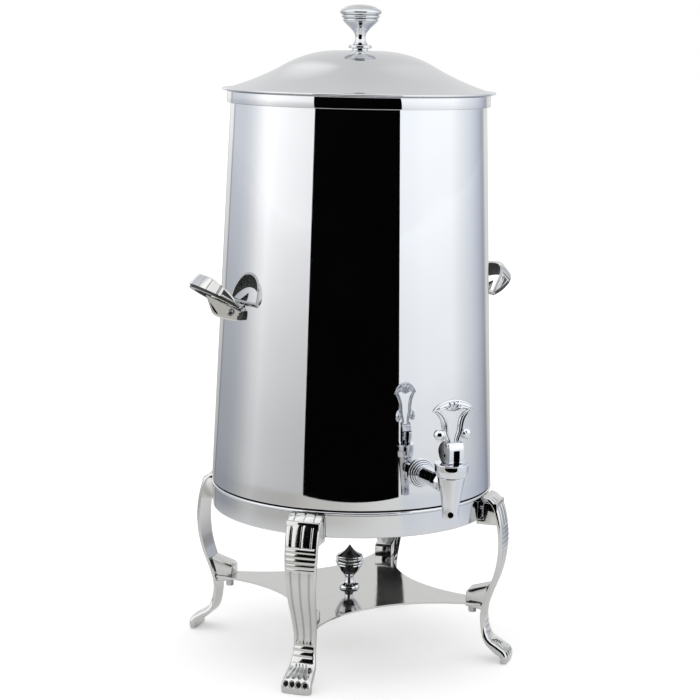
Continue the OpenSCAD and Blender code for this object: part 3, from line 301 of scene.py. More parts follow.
def turnedShape(outline, rounds=None, steps=128):
    # outline is [radius, height] in millimetres, from axis to axis or right round a wall
    bm = bmesh.new()
    corners = [bm.verts.new((r * mm, 0, z * mm)) for r, z in outline]
    edges = [bm.edges.new(pair) for pair in zip(corners, corners[1:])]
    if outline[0][0] > 0:
        edges.append(bm.edges.new((corners[-1], corners[0])))
    outlineParts = set(corners + edges)
    for size, places in (rounds or {}).items():
        done = bmesh.ops.bevel(bm, geom=[corners[i] for i in places], offset=size * mm,
                               offset_type="OFFSET", segments=4, profile=0.5, affect="VERTICES", material=-1)
        outlineParts.update(done["verts"] + done["edges"])
    outlineParts = [part for part in outlineParts if part.is_valid]
    verts = {v for part in outlineParts
             for v in (part.verts if isinstance(part, bmesh.types.BMEdge) else [part])}
    edges = {e for v in verts for e in v.link_edges}
    bmesh.ops.spin(bm, geom=list(verts) + list(edges), cent=(0, 0, 0), axis=(0, 0, 1), dvec=(0, 0, 0),
                   angle=2 * pi, steps=steps, use_merge=True)
    bmesh.ops.remove_doubles(bm, verts=bm.verts, dist=1e-7)
    bmesh.ops.recalc_face_normals(bm, faces=bm.faces)
    return bm


def wrappedShape(around, along, place):
    # a grid rolled round a section and run along a path: place(u, v) gives each point in millimetres
    # and how dull the metal is left there, with painted shade
    bm = bmesh.new()
    bmesh.ops.create_grid(bm, x_segments=around, y_segments=along, size=0.5)
    dullAndShade = bm.verts.layers.float.new("unbuffedAndShaded")
    for vert in bm.verts:
        x, y, z, vert[dullAndShade] = place(vert.co.x + 0.5, vert.co.y + 0.5)
        vert.co = Vector((x, y, z)) * mm
    bmesh.ops.remove_doubles(bm, verts=bm.verts, dist=2e-6)
    bmesh.ops.holes_fill(bm, edges=bm.edges, sides=0)
    bmesh.ops.recalc_face_normals(bm, faces=bm.faces)
    return bm


def addSlab(bm, outline, half, softness, move=Matrix()):
    # a plate with an [X, Z] outline in millimetres, from -half to half along Y, with softened edges
    side = bm.faces.new([bm.verts.new((x * mm, -half * mm, z * mm)) for x, z in outline])
    grown = bmesh.ops.extrude_face_region(bm, geom=[side])["geom"]
    far = [v for v in grown if isinstance(v, bmesh.types.BMVert)]
    bmesh.ops.translate(bm, verts=far, vec=(0, 2 * half * mm, 0))
    plate = list(set(side.verts) | set(far))
    edges = list({e for v in plate for e in v.link_edges})
    done = bmesh.ops.bevel(bm, geom=edges, offset=softness * mm, offset_type="OFFSET", segments=3,
                           profile=0.5, affect="EDGES", clamp_overlap=True, material=-1)
    verts = {v for f in done["faces"] for v in f.verts} | {v for v in plate if v.is_valid}
    bmesh.ops.transform(bm, matrix=move, verts=list(verts))
    bmesh.ops.recalc_face_normals(bm, faces=bm.faces)


def linkShape(name, bm):
    mesh = bpy.data.meshes.new(name)
    bm.to_mesh(mesh)
    bm.free()
    thing = bpy.data.objects.new(name, mesh)
    bpy.context.scene.collection.objects.link(thing)
    return thing


def makePiece(bm, name, slot, body, stands, sharp=32):
    for face in bm.faces:
        face.smooth = True
    piece = linkShape(name, bm)
    piece.data.set_sharp_from_angle(angle=radians(sharp))
    piece.data.materials.append(finishOfSlot[slot])
    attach(piece, body)
    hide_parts(*stands)
    return piece


# Urn: the tapered shell, the rolled band round its mouth and the domed lid

urn = {
    "bottomRadius": 155, "bottomHeight": 191.7,
    "topRadius": 138.8, "bandHeight": 605.3,
    "sheet": 1, "hemRadius": 0.9,
    "bandRadius": 142.5, "bandTop": 618.5, "mouthRadius": 124.3,
}


def shellRadius(height):
    share = (height - urn["bottomHeight"]) / (urn["bandHeight"] - urn["bottomHeight"])
    return urn["bottomRadius"] + (urn["topRadius"] - urn["bottomRadius"]) * share


def makeShell():
    low, high, sheet, hem = urn["bottomHeight"], urn["bandTop"] - 2, urn["sheet"], urn["hemRadius"]
    foot = shellRadius(low)
    outline = [(foot - sheet, low + hem), (foot - sheet, low), (foot, low)]
    outline += [(shellRadius(low + (high - low) * i / 24), low + (high - low) * i / 24)
                for i in range(1, 25)]
    outline += [(shellRadius(high) - sheet, high)]
    bm = turnedShape(outline, {0.45: [2]}, 256)
    makePiece(bm, "polishedShell", "shell_steel", "urn", ["outer_shell"])


def makeBand():
    low, high, out, inner = urn["bandHeight"], urn["bandTop"], urn["bandRadius"], urn["mouthRadius"]
    outline = [(shellRadius(low) + 0.06, low), (out, low), (out, high), (inner, high), (inner, high - 1),
               (shellRadius(low) + 0.06, high - 1)]
    bm = turnedShape(outline, {1.5: [2], 0.7: [1]}, 256)
    makePiece(bm, "rolledMouthBand", "shell_steel", "urn", ["rim_band"])


makeShell()
makeBand()

lid = {
    "radius": 147.9, "roll": 1.2, "rollHeight": 619.8, "rise": 42.8, "flat": 22,
    "domeSlope": 30, "rimSlope": 15, "sheet": 1,
    "knobRadius": 22.6, "knobHeight": 42.8, "collarRadius": 12.6, "collarHeight": 6.2,
}


def lidSide(drop):  # from the flat to the rim: a dome and a flare that share one slope where they meet
    turn, rim = radians(lid["domeSlope"]), radians(lid["rimSlope"])
    run = lid["radius"] - lid["roll"] - 0.5 - lid["flat"]
    flareRun = sin(turn) - sin(rim)
    flareRise = cos(rim) - cos(turn)
    dome = ((lid["rise"] - run * flareRise / flareRun)
            / (1 - cos(turn) - sin(turn) * flareRise / flareRun))
    flare = (run - dome * sin(turn)) / flareRun
    top = lid["rollHeight"] + lid["rise"]
    centre = (lid["flat"] + (dome + flare) * sin(turn), top - dome + (dome + flare) * cos(turn))
    return (arcLine((lid["flat"], top - dome), dome - drop, 90, 90 - lid["domeSlope"], 24)
            + arcLine(centre, flare + drop, 270 - lid["domeSlope"], 270 - lid["rimSlope"], 24)[1:])


def makeLid():
    top = lid["rollHeight"] + lid["rise"]
    rollAt = (lid["radius"] - lid["roll"], lid["rollHeight"])
    outline = ([(0, top)] + lidSide(0)[:-1] + arcLine(rollAt, lid["roll"], 75, -190, 20)
               + lidSide(lid["sheet"])[::-1] + [(0, top - lid["sheet"])])
    makePiece(turnedShape(outline, steps=256), "domedLid", "shell_steel", "lid", ["lid_shell"])


knobSteps = smoothLine([(0.25, 0.22), (0.29, 0.29), (0.38, 0.35), (0.48, 0.41), (0.6, 0.47), (0.72, 0.53),
                        (0.795, 0.57)], 4)


def stepRound(low, high, radius, bulge, count=8):  # one turned bead between two heights
    return [(radius + bulge * sin(pi * i / count), low + (high - low) * i / count)
            for i in range(count + 1)]


def makeKnob():
    outline = ([(0, 0), (0.33, 0), (0.36, 0.012), (0.355, 0.03), (0.3, 0.06), (0.255, 0.12), (0.245, 0.17)]
               + knobSteps
               + stepRound(0.575, 0.655, 0.795, 0.06) + stepRound(0.66, 0.745, 0.855, 0.06)
               + stepRound(0.75, 0.885, 0.915, 0.085, 12)
               + smoothLine([(0.86, 0.893), (0.8, 0.905), (0.74, 0.93), (0.6, 0.962), (0.32, 0.99)], 4)
               + [(0, 1)])
    foot = lid["rollHeight"] + lid["rise"] + lid["collarHeight"]
    bm = turnedShape([(r * lid["knobRadius"], foot + z * lid["knobHeight"]) for r, z in outline])
    makePiece(bm, "steppedKnob", "turned_steel", "lid", ["lid_knob"])


def makeCollar():
    base, out, high = lid["rollHeight"] + lid["rise"], lid["collarRadius"], lid["collarHeight"]
    outline = ([(0, base), (0.72 * out, base), (0.68 * out, base + 0.4 * high), (out, base + 0.4 * high),
                (out, base + 0.93 * high), (0.5 * out, base + high), (0, base + high)])
    bm = turnedShape(outline, {0.9: [3, 4], 0.3: [1]})
    makePiece(bm, "knobCollar", "turned_steel", "lid", ["knob_collar"])


makeLid()
makeKnob()
makeCollar()
print("urn: shell, band and lid made")


# Stand: the ring, four carved legs and the finial on the shelf

stand = {
    "ringTop": 190, "ringFoot": 162, "ringRadius": 153.5, "ringWall": 2.5, "bead": 1.8, "beadOut": 1.98,
    "ledgeRadius": 136, "ledge": 3,
    "shelfTop": 65.5, "finialRadius": 15.9, "finialHeight": 49,
}


def makeRing():
    low, high, out = stand["ringFoot"], stand["ringTop"], stand["ringRadius"]
    inner = out - stand["ringWall"]
    beadAt = (out + stand["beadOut"] - stand["bead"], high - stand["bead"])
    start = -degrees(acos((out - beadAt[0]) / stand["bead"]))
    foot = beadAt[1] + stand["bead"] * sin(radians(start))
    outline = ([(stand["ledgeRadius"], low), (out, low), (out, foot - 0.8), (out - 0.7, foot - 0.4)]
               + arcLine(beadAt, stand["bead"], start, 150, 16)
               + [(inner, high - stand["bead"]), (inner, low + stand["ledge"]),
                  (stand["ledgeRadius"], low + stand["ledge"])])
    bm = turnedShape(outline, {1.5: [1], 0.8: [0]}, 256)
    makePiece(bm, "beadedRing", "shell_steel", "stand", ["stand_ring"])


def makeFinial():
    outline = ([(0, 0), (0.72, 0), (0.745, 0.015), (0.735, 0.035)]
               + smoothLine([(0.66, 0.07), (0.4, 0.1), (0.33, 0.14), (0.3, 0.2), (0.34, 0.27), (0.52, 0.34),
                             (0.7, 0.41), (0.84, 0.49), (0.915, 0.54)], 4)
               + stepRound(0.56, 0.665, 0.9, 0.1) + stepRound(0.68, 0.72, 0.93, 0.04, 5)
               + smoothLine([(0.9, 0.75), (0.62, 0.8), (0.34, 0.87), (0.15, 0.94), (0.05, 0.985), (0, 1)], 4))
    bm = turnedShape([(r * stand["finialRadius"], stand["shelfTop"] + z * stand["finialHeight"])
                      for r, z in outline])
    makePiece(bm, "shelfFinial", "turned_steel", "stand", ["shelf_finial"])


makeRing()
makeFinial()

leg = {
    # radius beyond the ring, share of the ring's height, thickness, down the outer face
    "line": [(3.5, 0.992, 4), (11, 0.977, 4.5), (18.2, 0.93, 5), (23, 0.842, 5.5), (25.5, 0.726, 5.5),
             (24.4, 0.61, 5.5), (20, 0.505, 5.5), (12.5, 0.4, 5.5), (7.6, 0.316, 5.5), (7, 0.237, 5.5),
             (12, 0.147, 7), (22.5, 0.108, 9.5), (31.3, 0.076, 9), (34.5, 0.042, 8), (33.5, 0, 8)],
    # share of the ring's height and half width, upwards
    "front": [(-0.01, 15.9), (0.04, 16.2), (0.12, 14.9), (0.18, 12.8), (0.26, 12.3), (0.38, 13.8),
              (0.505, 15.56), (0.72, 17.74), (0.81, 18.19), (1.02, 18.75)],
    "angles": {"leg_front_right": -45, "leg_front_left": -135, "leg_back_left": 135, "leg_back_right": 45},
    "panelFoot": 154.5, "reeds": 4, "reedPitch": 10.8, "reedCrown": 0.35, "reedGroove": 0.8,
    "kneeGrooves": [153.4, 148.7, 143.2, 137.6, 132.1], "kneeBead": 0.9,
    "shank": (46, 130.5), "ribGroove": 0.8, "ribWidth": 1.15, "ribSwell": 0.45, "ribShare": 0.59,
    "ankleGrooves": [44.65, 38.95, 33.25, 27.55], "ankleBead": 1.2,
    "toes": (7, 14.5), "claws": (15.5, 27), "toePitch": 7, "toeDepth": 1.6,
    "edge": 3.2, "crown": 1.2, "rows": 320, "columns": 112,
    # [radius, height] outline and half width of the seat under the ring and the pads over and under the shelf
    "pads": [([(148.5, 156.5), (172, 156.5), (171, 181), (155.7, 181), (155.7, 161.9), (148.5, 161.9)], 18),
             ([(137.5, 65.6), (159, 65.6), (162, 86), (140.3, 79.5), (137.5, 76.7)], 10.4),
             ([(137.5, 60.5), (158.5, 57.4), (158.5, 63.4), (137.5, 63.4)], 10.2)],
}


def legRows():  # evenly spaced points down the outer face: radius, height, thickness and normal
    line = smoothLine([(stand["ringRadius"] + out, share * stand["ringTop"], thick)
                       for out, share, thick in leg["line"]], 16)
    run = [0]
    for a, b in zip(line, line[1:]):
        run.append(run[-1] + hypot(b[0] - a[0], b[1] - a[1]))
    rows, k = [], 0
    for i in range(leg["rows"] + 1):
        at = run[-1] * i / leg["rows"]
        while k < len(line) - 2 and run[k + 1] < at:
            k += 1
        t = (at - run[k]) / (run[k + 1] - run[k])
        a, b = line[k], line[k + 1]
        rows.append([p + (q - p) * t for p, q in zip(a, b)])
    for i, row in enumerate(rows):
        a, b = rows[max(i - 2, 0)], rows[min(i + 2, leg["rows"])]
        along = Vector((b[0] - a[0], b[1] - a[1])).normalized()
        row.append(Vector((-along[1], along[0])))
    return rows


def beadCut(height, grooves, size):  # between two grooves the face swells into a rounded bead, and the grooves get painted shade
    for high, low in zip(grooves, grooves[1:]):
        if low <= height <= high:
            across = 2 * (height - low) / (high - low) - 1
            depth = 1 - sqrt(max(1 - across * across, 0)) ** 0.8
            return size * depth, 0.7 * ease((depth - 0.55) / 0.45)
    return 0, 0


def reedCut(across, height):  # four flat reeds with narrow grooves between, up and over the top of the leg; the grooves get painted shade
    q = across / leg["reedPitch"] + leg["reeds"] / 2
    off = abs(q - min(max(floor(q), 0), leg["reeds"] - 1) - 0.5)
    inside = ease((height - leg["panelFoot"] + 0.8) / 1.2)
    groove = ease((off - 0.4) / 0.1) * inside
    depth = leg["reedCrown"] * (2 * min(off, 0.5)) ** 3 * inside + leg["reedGroove"] * groove
    return depth + 0.6 * (1 - inside), 0.25 * groove


def ribCut(across, half, height):  # three soft grooves down the shank, with painted shade in them
    fade = ease((height - leg["shank"][0]) / 7) * ease((leg["shank"][1] - height) / 2)
    share = leg["ribShare"] * half
    groove = max(exp(-((across - k * share) / leg["ribWidth"]) ** 2) for k in (-1, 0, 1))
    swell = leg["ribSwell"] * (0.5 - 0.5 * cos(2 * pi * (across / share - 0.5)))
    return fade * (leg["ribGroove"] * groove + leg["ribSwell"] - swell), 0.4 * fade * groove


def toeCut(across, height):  # four toes, and a claw above each, their hollows painted dark as shade
    spread = 1 - 0.5 * ease((height - 13) / 14)
    q = across / (leg["toePitch"] * spread) + 2
    off = (q - min(max(floor(q), 0), 3) - 0.5) * 2
    for (low, high), lean, dark in ((leg["toes"], 1, 1), (leg["claws"], 0.7, 0.35)):
        up = 2 * (height - low) / (high - low) - 1
        room = 1 - up * up - off * off * 1.2
        if room > 0:
            return lean * leg["toeDepth"] * ease(room * 2), dark * ease(room * 3 - 0.3)
    return 0, 0


def carved(across, half, height):  # how deep the outer face is cut at a point, and how dull it is left, with painted shade in the cuts
    if height > leg["panelFoot"] - 1:
        return reedCut(across, height)
    if height >= leg["kneeGrooves"][-1]:
        return beadCut(height, leg["kneeGrooves"], leg["kneeBead"])
    if height >= leg["shank"][0] - 1:
        return ribCut(across, half, height)
    if height >= leg["ankleGrooves"][-1]:
        return beadCut(height, leg["ankleGrooves"], leg["ankleBead"])
    return toeCut(across, height)


def legShape():
    rows = legRows()
    front = smoothLine([(share * stand["ringTop"], half) for share, half in leg["front"]], 6)
    halves = [readLine(front, row[1]) for row in rows]
    faces = (0.78, 0.83, 0.95)  # shares of the way round: outer face, side, inner face, side

    def place(u, v):
        i = round(v * leg["rows"])
        radius, height, thick, normal = rows[i]
        half = halves[i]
        edge = min(leg["edge"], 0.6 * thick)
        dullAndShade = 0
        if u <= faces[0]:
            across = half * (2 * u / faces[0] - 1)
            past = max(abs(across) - (half - edge), 0)
            depth = edge - sqrt(max(edge * edge - past * past, 0))
            fade = 1 - ease((abs(across) - half + 1.2 * edge) / edge)
            cut, dullAndShade = (value * fade for value in carved(across, half, height))
            depth += cut + leg["crown"] * (across / half) ** 2
        elif u <= faces[1]:
            across, edge = half, edge + leg["crown"]
            depth = edge + (thick - edge) * (u - faces[0]) / (faces[1] - faces[0])
        elif u <= faces[2]:
            across, depth = half * (1 - 2 * (u - faces[1]) / (faces[2] - faces[1])), thick
        else:
            across, edge = -half, edge + leg["crown"]
            depth = thick + (edge - thick) * (u - faces[2]) / (1 - faces[2])
        return radius - normal[0] * depth, across, max(height - normal[1] * depth, 0), dullAndShade

    return wrappedShape(leg["columns"], leg["rows"], place)


def makeLegs():
    bm = legShape()
    for outline, half in leg["pads"]:
        addSlab(bm, outline, half, 0.9)
    for name, angle in leg["angles"].items():
        copy = bm.copy()
        bmesh.ops.rotate(copy, cent=(0, 0, 0), matrix=Matrix.Rotation(radians(angle), 3, "Z"),
                         verts=copy.verts)
        piece = "carvedLeg" + "".join(word.capitalize() for word in name.split("_")[1:])
        makePiece(copy, piece, "cast_steel", "stand", [name], sharp=50)
    bm.free()


makeLegs()
print("urn: stand made")


# Handles: a banded loop in a bracket, one on each side, each held by two side screws

handle = {
    "seatRadius": 147.284, "seatHeight": 388.7, "tilt": 28.5,
    "run": 15, "outer": 37, "band": 5.5,
    # bars across the loop and its tongue in the bracket: way out, height, half width and softened edge
    "ties": [((11, 15), (0.05, 3.6), 32.5, 0.5), ((1.5, 15), (0.05, 2), 13.5, 0.4),
             ((2.5, 8.5), (-6.6, 1), 11, 0.3)],
    # distance from the shell and height of the band there
    "heights": [(11, 2.6), (14.5, 4), (17.2, 5.8), (23.3, 9.2), (28, 11.2), (34.6, 13.3), (41.6, 15.5),
                (46, 16.8)],
    # [outwards, up, dullness with painted shade] of the thin lip and the channel under the slanted face,
    # which is painted dark as shade
    "foot": [(0.6, 0, 0), (5.2, 0, 0), (6.7, 0.08, 0), (7, 0.3, 0), (6.6, 0.5, 0.9), (6.4, 0.9, 0.9),
             (6.4, 2.5, 0.9), (6.8, 2.9, 0.9)],
    "face": (8.1, 3.1), "shoulder": (4.9, 0.94),
    "facetEnd": 33.2, "facetFoot": 4.6, "facetRim": (1.7, 0.1), "facetSunk": 0.5, "unbuffedAndShaded": 0.85,
    "grooves": (16.5, 33), "grooveWidth": 0.5, "grooveDepth": 0.5, "strip": (50.5, 54.5), "stripDepth": 0.9,
    "blockWidth": 41, "blockOut": 31, "blockDrop": 11.5, "nose": 4, "sideSlant": 31.43, "draft": 17,
    "flangeHalf": 33, "flange": 1.4, "fin": 12, "finFrom": 17.5, "finSlope": 0.3,
    "finLean": 0.08, "finHeart": (23, -6.5), "finHollow": [(0.5, 0), (0.85, 1)],
    "screwAt": (9.5, -1.6), "screwProud": 0.6,
    # [radius, depth] of a side screw from its tip to the socket in its head
    "screw": [(0, 9), (2, 9), (2, 0), (3.7, 0), (3.7, -1.1), (2.9, -1.7), (2.6, -1.5), (2.2, -1.5),
              (1.7, -1.9), (1.5, -0.4), (0, -0.4)],
}


def handleSide(side):  # from the handle's own frame, in which the shell stands at X = 0, to the urn
    return (turnBy(0 if side > 0 else 180, "Z")
            @ shiftBy(handle["seatRadius"], 0, handle["seatHeight"]))


def loopStations():  # inner point of the band, way out of the loop, and degrees round from its far end
    run, inner = handle["run"], handle["outer"] - handle["band"]
    turns = set(range(-90, 91))
    for edge in handle["grooves"] + handle["strip"]:
        turns |= {side * edge + step / 5 for step in range(-7, 8) for side in (-1, 1)}
    stations = [((x, -inner), (0, -1), -90) for x in (11, 12, 13, 14)]
    for turn in sorted(turns):
        way = (cos(radians(turn)), sin(radians(turn)))
        stations.append(((run + inner * way[0], inner * way[1]), way, turn))
    return stations + [((x, inner), (0, 1), 90) for x in (14, 13, 12, 11)]


def loopSection(height, past, sunk):  # [outwards, up, dullness with painted shade] points round the band
    small = min(1, height / 7)
    dark = handle["unbuffedAndShaded"]  # painted shade, with unbuffed metal, underneath and inside the loop
    (faceOut, faceUp), (topOut, topUp) = handle["face"], handle["shoulder"]
    faceUp, topUp = faceUp * small, topUp * height
    beyond = max(handle["facetEnd"] - past, 0)
    footUp = handle["facetFoot"] * small
    rimUp = max(height - (handle["facetRim"][0] + handle["facetRim"][1] * beyond), footUp + 0.2)
    facet = ease(beyond / 0.8) * small
    points = [(out, up * small, dullAndShade) for out, up, dullAndShade in handle["foot"]]
    for t, share in ((0, 0), (0.08, 0.02), (0.14, 0.05), (0.2, 0.08), (0.35, 0.3), (0.5, 0.55), (0.65, 0.8),
                     (0.8, 0.92), (0.84, 0.95), (0.9, 0.98), (0.95, 0.99), (1, 1)):
        band = (faceOut + (topOut - faceOut) * share + 0.3 * sin(pi * share),
                faceUp + (topUp - faceUp) * share)
        if t <= 0.84:
            level = footUp + (rimUp - footUp) * (t / 0.84)
            sunkHere = handle["facetSunk"] * ease((t - 0.06) / 0.06) * ease((0.82 - t) / 0.04)
            flat = (faceOut - 0.1 - sunkHere, level)
        else:
            part = (t - 0.84) / 0.16
            flat = (faceOut - 0.1 + (topOut - faceOut + 0.1) * part, rimUp + (topUp - rimUp) * part)
        out, up = (b + (f - b) * facet for b, f in zip(band, flat))
        dullAndShade = dark * (facet > 0.5 and 0.1 < t < 0.82)
        points.append((out - sunk * ease(share * 8), up, max(dullAndShade, 0.5 * (sunk > 0.25))))
    points += [(topOut - 0.3, 0.975 * height, 0), (topOut - 0.9, height, 0), (0.8, height, 0),
               (0.25, height - 0.3 * small, 0), (0, height - 0.8 * small, dark), (0, 0.6 * small, dark),
               (0.2, 0.2 * small, dark)]
    return [(out * (0.55 + 0.45 * small) if up < 0.95 * height else out, up, dullAndShade)
            for out, up, dullAndShade in points]


def sinkAt(turn):  # how deep the band's grooves and the step before the facet are at a place round the loop
    depth = 0
    for at in handle["grooves"]:
        off = radians(abs(abs(turn) - at)) * handle["outer"]
        depth = max(depth, handle["grooveDepth"] * (1 - ease(off / handle["grooveWidth"] - 0.3)))
    start, end = handle["strip"]
    inside = ease((abs(turn) - start) / 0.6 + 0.5) * ease((end - abs(turn)) / 0.6 + 0.5)
    return max(depth, handle["stripDepth"] * inside)


def ringsShape(rings):  # a shape through rings of points that all have the same count
    around, along = len(rings[0]), len(rings) - 1
    return wrappedShape(around, along, lambda u, v: rings[round(v * along)][round(u * around) % around])


def makeLoop(side, name, node):
    heights = smoothLine(handle["heights"], 6)
    rings = []
    for (x, y), way, turn in loopStations():
        past = x + handle["band"] / 2 * way[0]
        section = loopSection(readLine(heights, past), past, sinkAt(turn))
        rings.append([(x + out * way[0], y + out * way[1], up, dullAndShade) for out, up, dullAndShade in section])
    bm = ringsShape(rings)
    for (near, far), (low, high), half, softness in handle["ties"]:
        addSlab(bm, [(near, low), (far, low), (far, high), (near, high)], half, softness)
    moveShape(bm, handleSide(side) @ turnBy(-handle["tilt"], "Y"))
    makePiece(bm, name, "handle_steel", "urn", [node], sharp=30)


def blockShape():  # the bracket's block: rounded sections along X whose width, floor and top change
    out, drop, nose = handle["blockOut"], handle["blockDrop"], handle["nose"]
    rise, draft = tan(radians(handle["tilt"])), tan(radians(handle["draft"]))
    under = smoothLine([(3, -drop), (0.42 * out, -0.8 * drop), (0.7 * out, -0.4 * drop),
                        (0.86 * out, 0.4 * drop), (out, out * rise - 0.1)], 6)
    rings = []
    for i in range(61):
        x = -1 + (out + 1) * sin(pi / 2 * i / 60)
        width = handle["blockWidth"] / 2 - x * (handle["blockWidth"] / 2 - nose) / (out - nose)
        if x > out - nose:
            width = min(width, sqrt(max(nose ** 2 - (x - out + nose) ** 2, 0.0004)))
        low, high = readLine(under, x), max(x, 0) * rise - 0.05
        ring = []
        for across, up, start in ((1, 1, 0), (-1, 1, 90), (-1, -1, 180), (1, -1, 270)):
            soft = min(0.7 if up > 0 else 2.2, width * 0.6, (high - low) * 0.45 + 0.01)
            turns = [(start + 90 * k / 8, 0) for k in range(9)]
            if across * up < 0:  # down the side after this corner, or up the other side
                turns += [(start + 90, share) for share in (0.04, 0.3, 0.7, 0.96)]
            for turn, share in turns:
                turn = radians(turn)
                level = (high - soft if up > 0 else low + soft) + soft * sin(turn)
                level += share * ((low - high + 2.9) if up > 0 else (high - low - 2.9)) * (high - low > 3.4)
                half = max(width - (high - level) * draft, 0.5 * width)
                ring.append((x, across * (half - soft) + soft * cos(turn), level, 0))
        rings.append(ring)
    return ringsShape(rings)


def joinShape(bm, own):  # adds one bmesh to another
    stock = bpy.data.meshes.new("stock")
    own.to_mesh(stock)
    own.free()
    bm.from_mesh(stock)
    bpy.data.meshes.remove(stock)


def addFin(bm, v):  # a leaf of the wall flange: a raised rim round a hollow, swept up onto the block
    w, fin, drop = handle["flangeHalf"], handle["fin"], handle["blockDrop"]
    outline = ([(handle["finFrom"], -drop)]
               + smoothLine([(0.78 * w, -drop), (0.9 * w, -0.5 * drop), (0.97 * w, 0), (w, fin)], 5)
               + smoothLine([(w, fin), (0.86 * w, 0.45 * fin), (0.72 * w, 0.1 * fin), (0.5 * w, -0.1 * fin),
                             (handle["finFrom"], -0.15 * fin)], 5)[1:])
    own = bmesh.new()
    dullAndShade = own.verts.layers.float.new("unbuffedAndShaded")
    leaf = own.faces.new([own.verts.new((0, v * y * mm, z * mm)) for y, z in outline])
    own.normal_update()
    if leaf.normal.x < 0:
        leaf.normal_flip()
    for share, depth in handle["finHollow"]:  # a hollow of the leaf's own shape, smaller at each step
        bmesh.ops.inset_region(own, faces=[leaf], thickness=0.01 * mm, depth=0)
        y, z = handle["finHeart"]
        heart = Vector((0, v * y, z)) * mm
        for vert in leaf.verts:
            vert.co = heart + (vert.co - heart) * share
            vert.co.x = -depth * mm
    # painted shade: the hollow of the leaf is left dull and dark
    for vert in leaf.verts:
        vert[dullAndShade] = 0.9
    bmesh.ops.triangulate(own, faces=[leaf], ngon_method="BEAUTY")
    grown = bmesh.ops.extrude_face_region(own, geom=own.faces[:], use_keep_orig=True)["geom"]
    back = {g for g in grown if isinstance(g, bmesh.types.BMVert)}
    for vert in own.verts:
        y, z = vert.co.y / mm, vert.co.z / mm
        radius = shellRadius(handle["seatHeight"] + z)
        wall = sqrt(radius ** 2 - y ** 2) - handle["seatRadius"]
        sweep = handle["finSlope"] * (w - abs(y)) + handle["finLean"] * (fin - z)
        vert.co.x = (wall + 0.1) * mm if vert in back else vert.co.x + (wall + handle["flange"] + sweep) * mm
    bmesh.ops.recalc_face_normals(own, faces=own.faces)
    joinShape(bm, own)


def makeBracket(side, name, node):
    bm = blockShape()
    for v in (-1, 1):
        addFin(bm, v)
    moveShape(bm, handleSide(side))
    makePiece(bm, name, "handle_steel", "urn", [node], sharp=38)


def addTurned(bm, outline, move, rounds=None, steps=48):  # a small turned part, put in place by a matrix
    own = turnedShape(outline, rounds, steps)
    moveShape(own, move)
    joinShape(bm, own)


def makeSideScrews():
    bm = bmesh.new()
    slant = radians(handle["sideSlant"])
    at = handle["screwAt"]
    half = handle["nose"] / cos(slant) + (handle["blockOut"] - handle["nose"] - at[0]) * tan(slant)
    for side in (-1, 1):
        for v in (-1, 1):
            move = (handleSide(side) @ shiftBy(at[0], v * half, at[1])
                    @ turnBy(-v * handle["sideSlant"], "Z") @ shiftBy(0, -v * handle["screwProud"], 0)
                    @ turnBy(v * 90, "X"))
            addTurned(bm, handle["screw"], move, {0.25: [4, 5, 8]})
    makePiece(bm, "handleSideScrews", "fastener_steel", "urn", ["handle_side_screws"])


for side, word in ((-1, "left"), (1, "right")):
    makeLoop(side, word + "HandleLoop", "handle_loop_" + word)
    makeBracket(side, word + "HandleBracket", "handle_bracket_" + word)
makeSideScrews()
print("urn: handles made")


# Tap: spout and cone, shank with its stepped rosette, bonnet, and the fan lever on its fork

tap = {
    "out": 215.0194, "shank": 229.5,
    "outlet": 196, "coneFoot": 206.5, "coneTop": 238.5, "neckTop": 246.5, "seat": 214,
    "spoutRadius": 8.7, "coneRadius": 14.3, "bore": 4.5, "chamber": 7.5, "shankRadius": 9.2,
    "vent": 3.05, "ventHeight": 200.4, "ventTurn": 28,
    "collarFrom": 189, "collarRadius": 10.2, "shankEnd": 206,
    "thread": 7.8, "threadFrom": 135, "threadEnd": 158,
    "neck": 13, "stemHole": 3.6, "stemGuide": 5, "fit": 0.1,
    # radius and distance from the axis of the urn of each step of the rosette, outermost first
    "rosetteBack": 151.5, "rosette": [(15.5, 155.6), (13.6, 157.4), (11.9, 159.2), (10.3, 160.9)],
    "bonnetFoot": 239.3, "bonnetTop": 253, "disc": 17.85, "discHeight": 1.9,
    "skirt": [(15.4, 0), (16.2, 0.2), (17, 0.45), (17.3, 0.62), (17.35, 1)],
    "pin": 261.3, "pinRadius": 1.5, "fork": 17.2, "slot": 7.4, "slotTop": 5.8,
    "pull": 45, "lift": 4, "camLow": 8.2, "camShown": 24,
    # [forwards of the pin, above it] from the cam's front round the top of the fork to its heel
    "forkBack": [(9.4, -4), (9.3, 3), (8.8, 9), (6.6, 13.2), (2, 14.5), (-3.3, 14.5), (-9.4, 10.2),
                 (-13, 3.6), (-11, -2.9)],
    "lipAt": (4.6, 11.2), "lip": 3,
    "wire": 0.5, "coils": 7,
    "fanTop": 58, "fanHalf": 23.7, "fanThick": 5, "tipHeight": 45.7, "fanUnder": (70, -22),
    # [across, up, half width] along a strand of the fan, from the fork to the tip
    "strand": [(4.2, 12, 2), (5.9, 18, 2.5), (8.2, 23.5, 2.9), (9.2, 28, 3.2), (9.9, 33, 3.4),
               (11.6, 38, 3.3), (14.8, 42.3, 2.9), (18, 45, 2.2), (21.2, 47, 1.2)],
    "ball": (15, 21.8, 6.2), "leaf": (2.4, 14.2, 3.1), "leafFoot": 44.9,
    "leans": (-62, -31, 0, 31, 62), "curlTurn": 58, "curlLean": 20,
}
tapAxis = shiftBy(0, -tap["out"], 0)
tapShank = shiftBy(0, 0, tap["shank"]) @ turnBy(90, "X")
leverPin = tapAxis @ shiftBy(0, 0, tap["pin"])


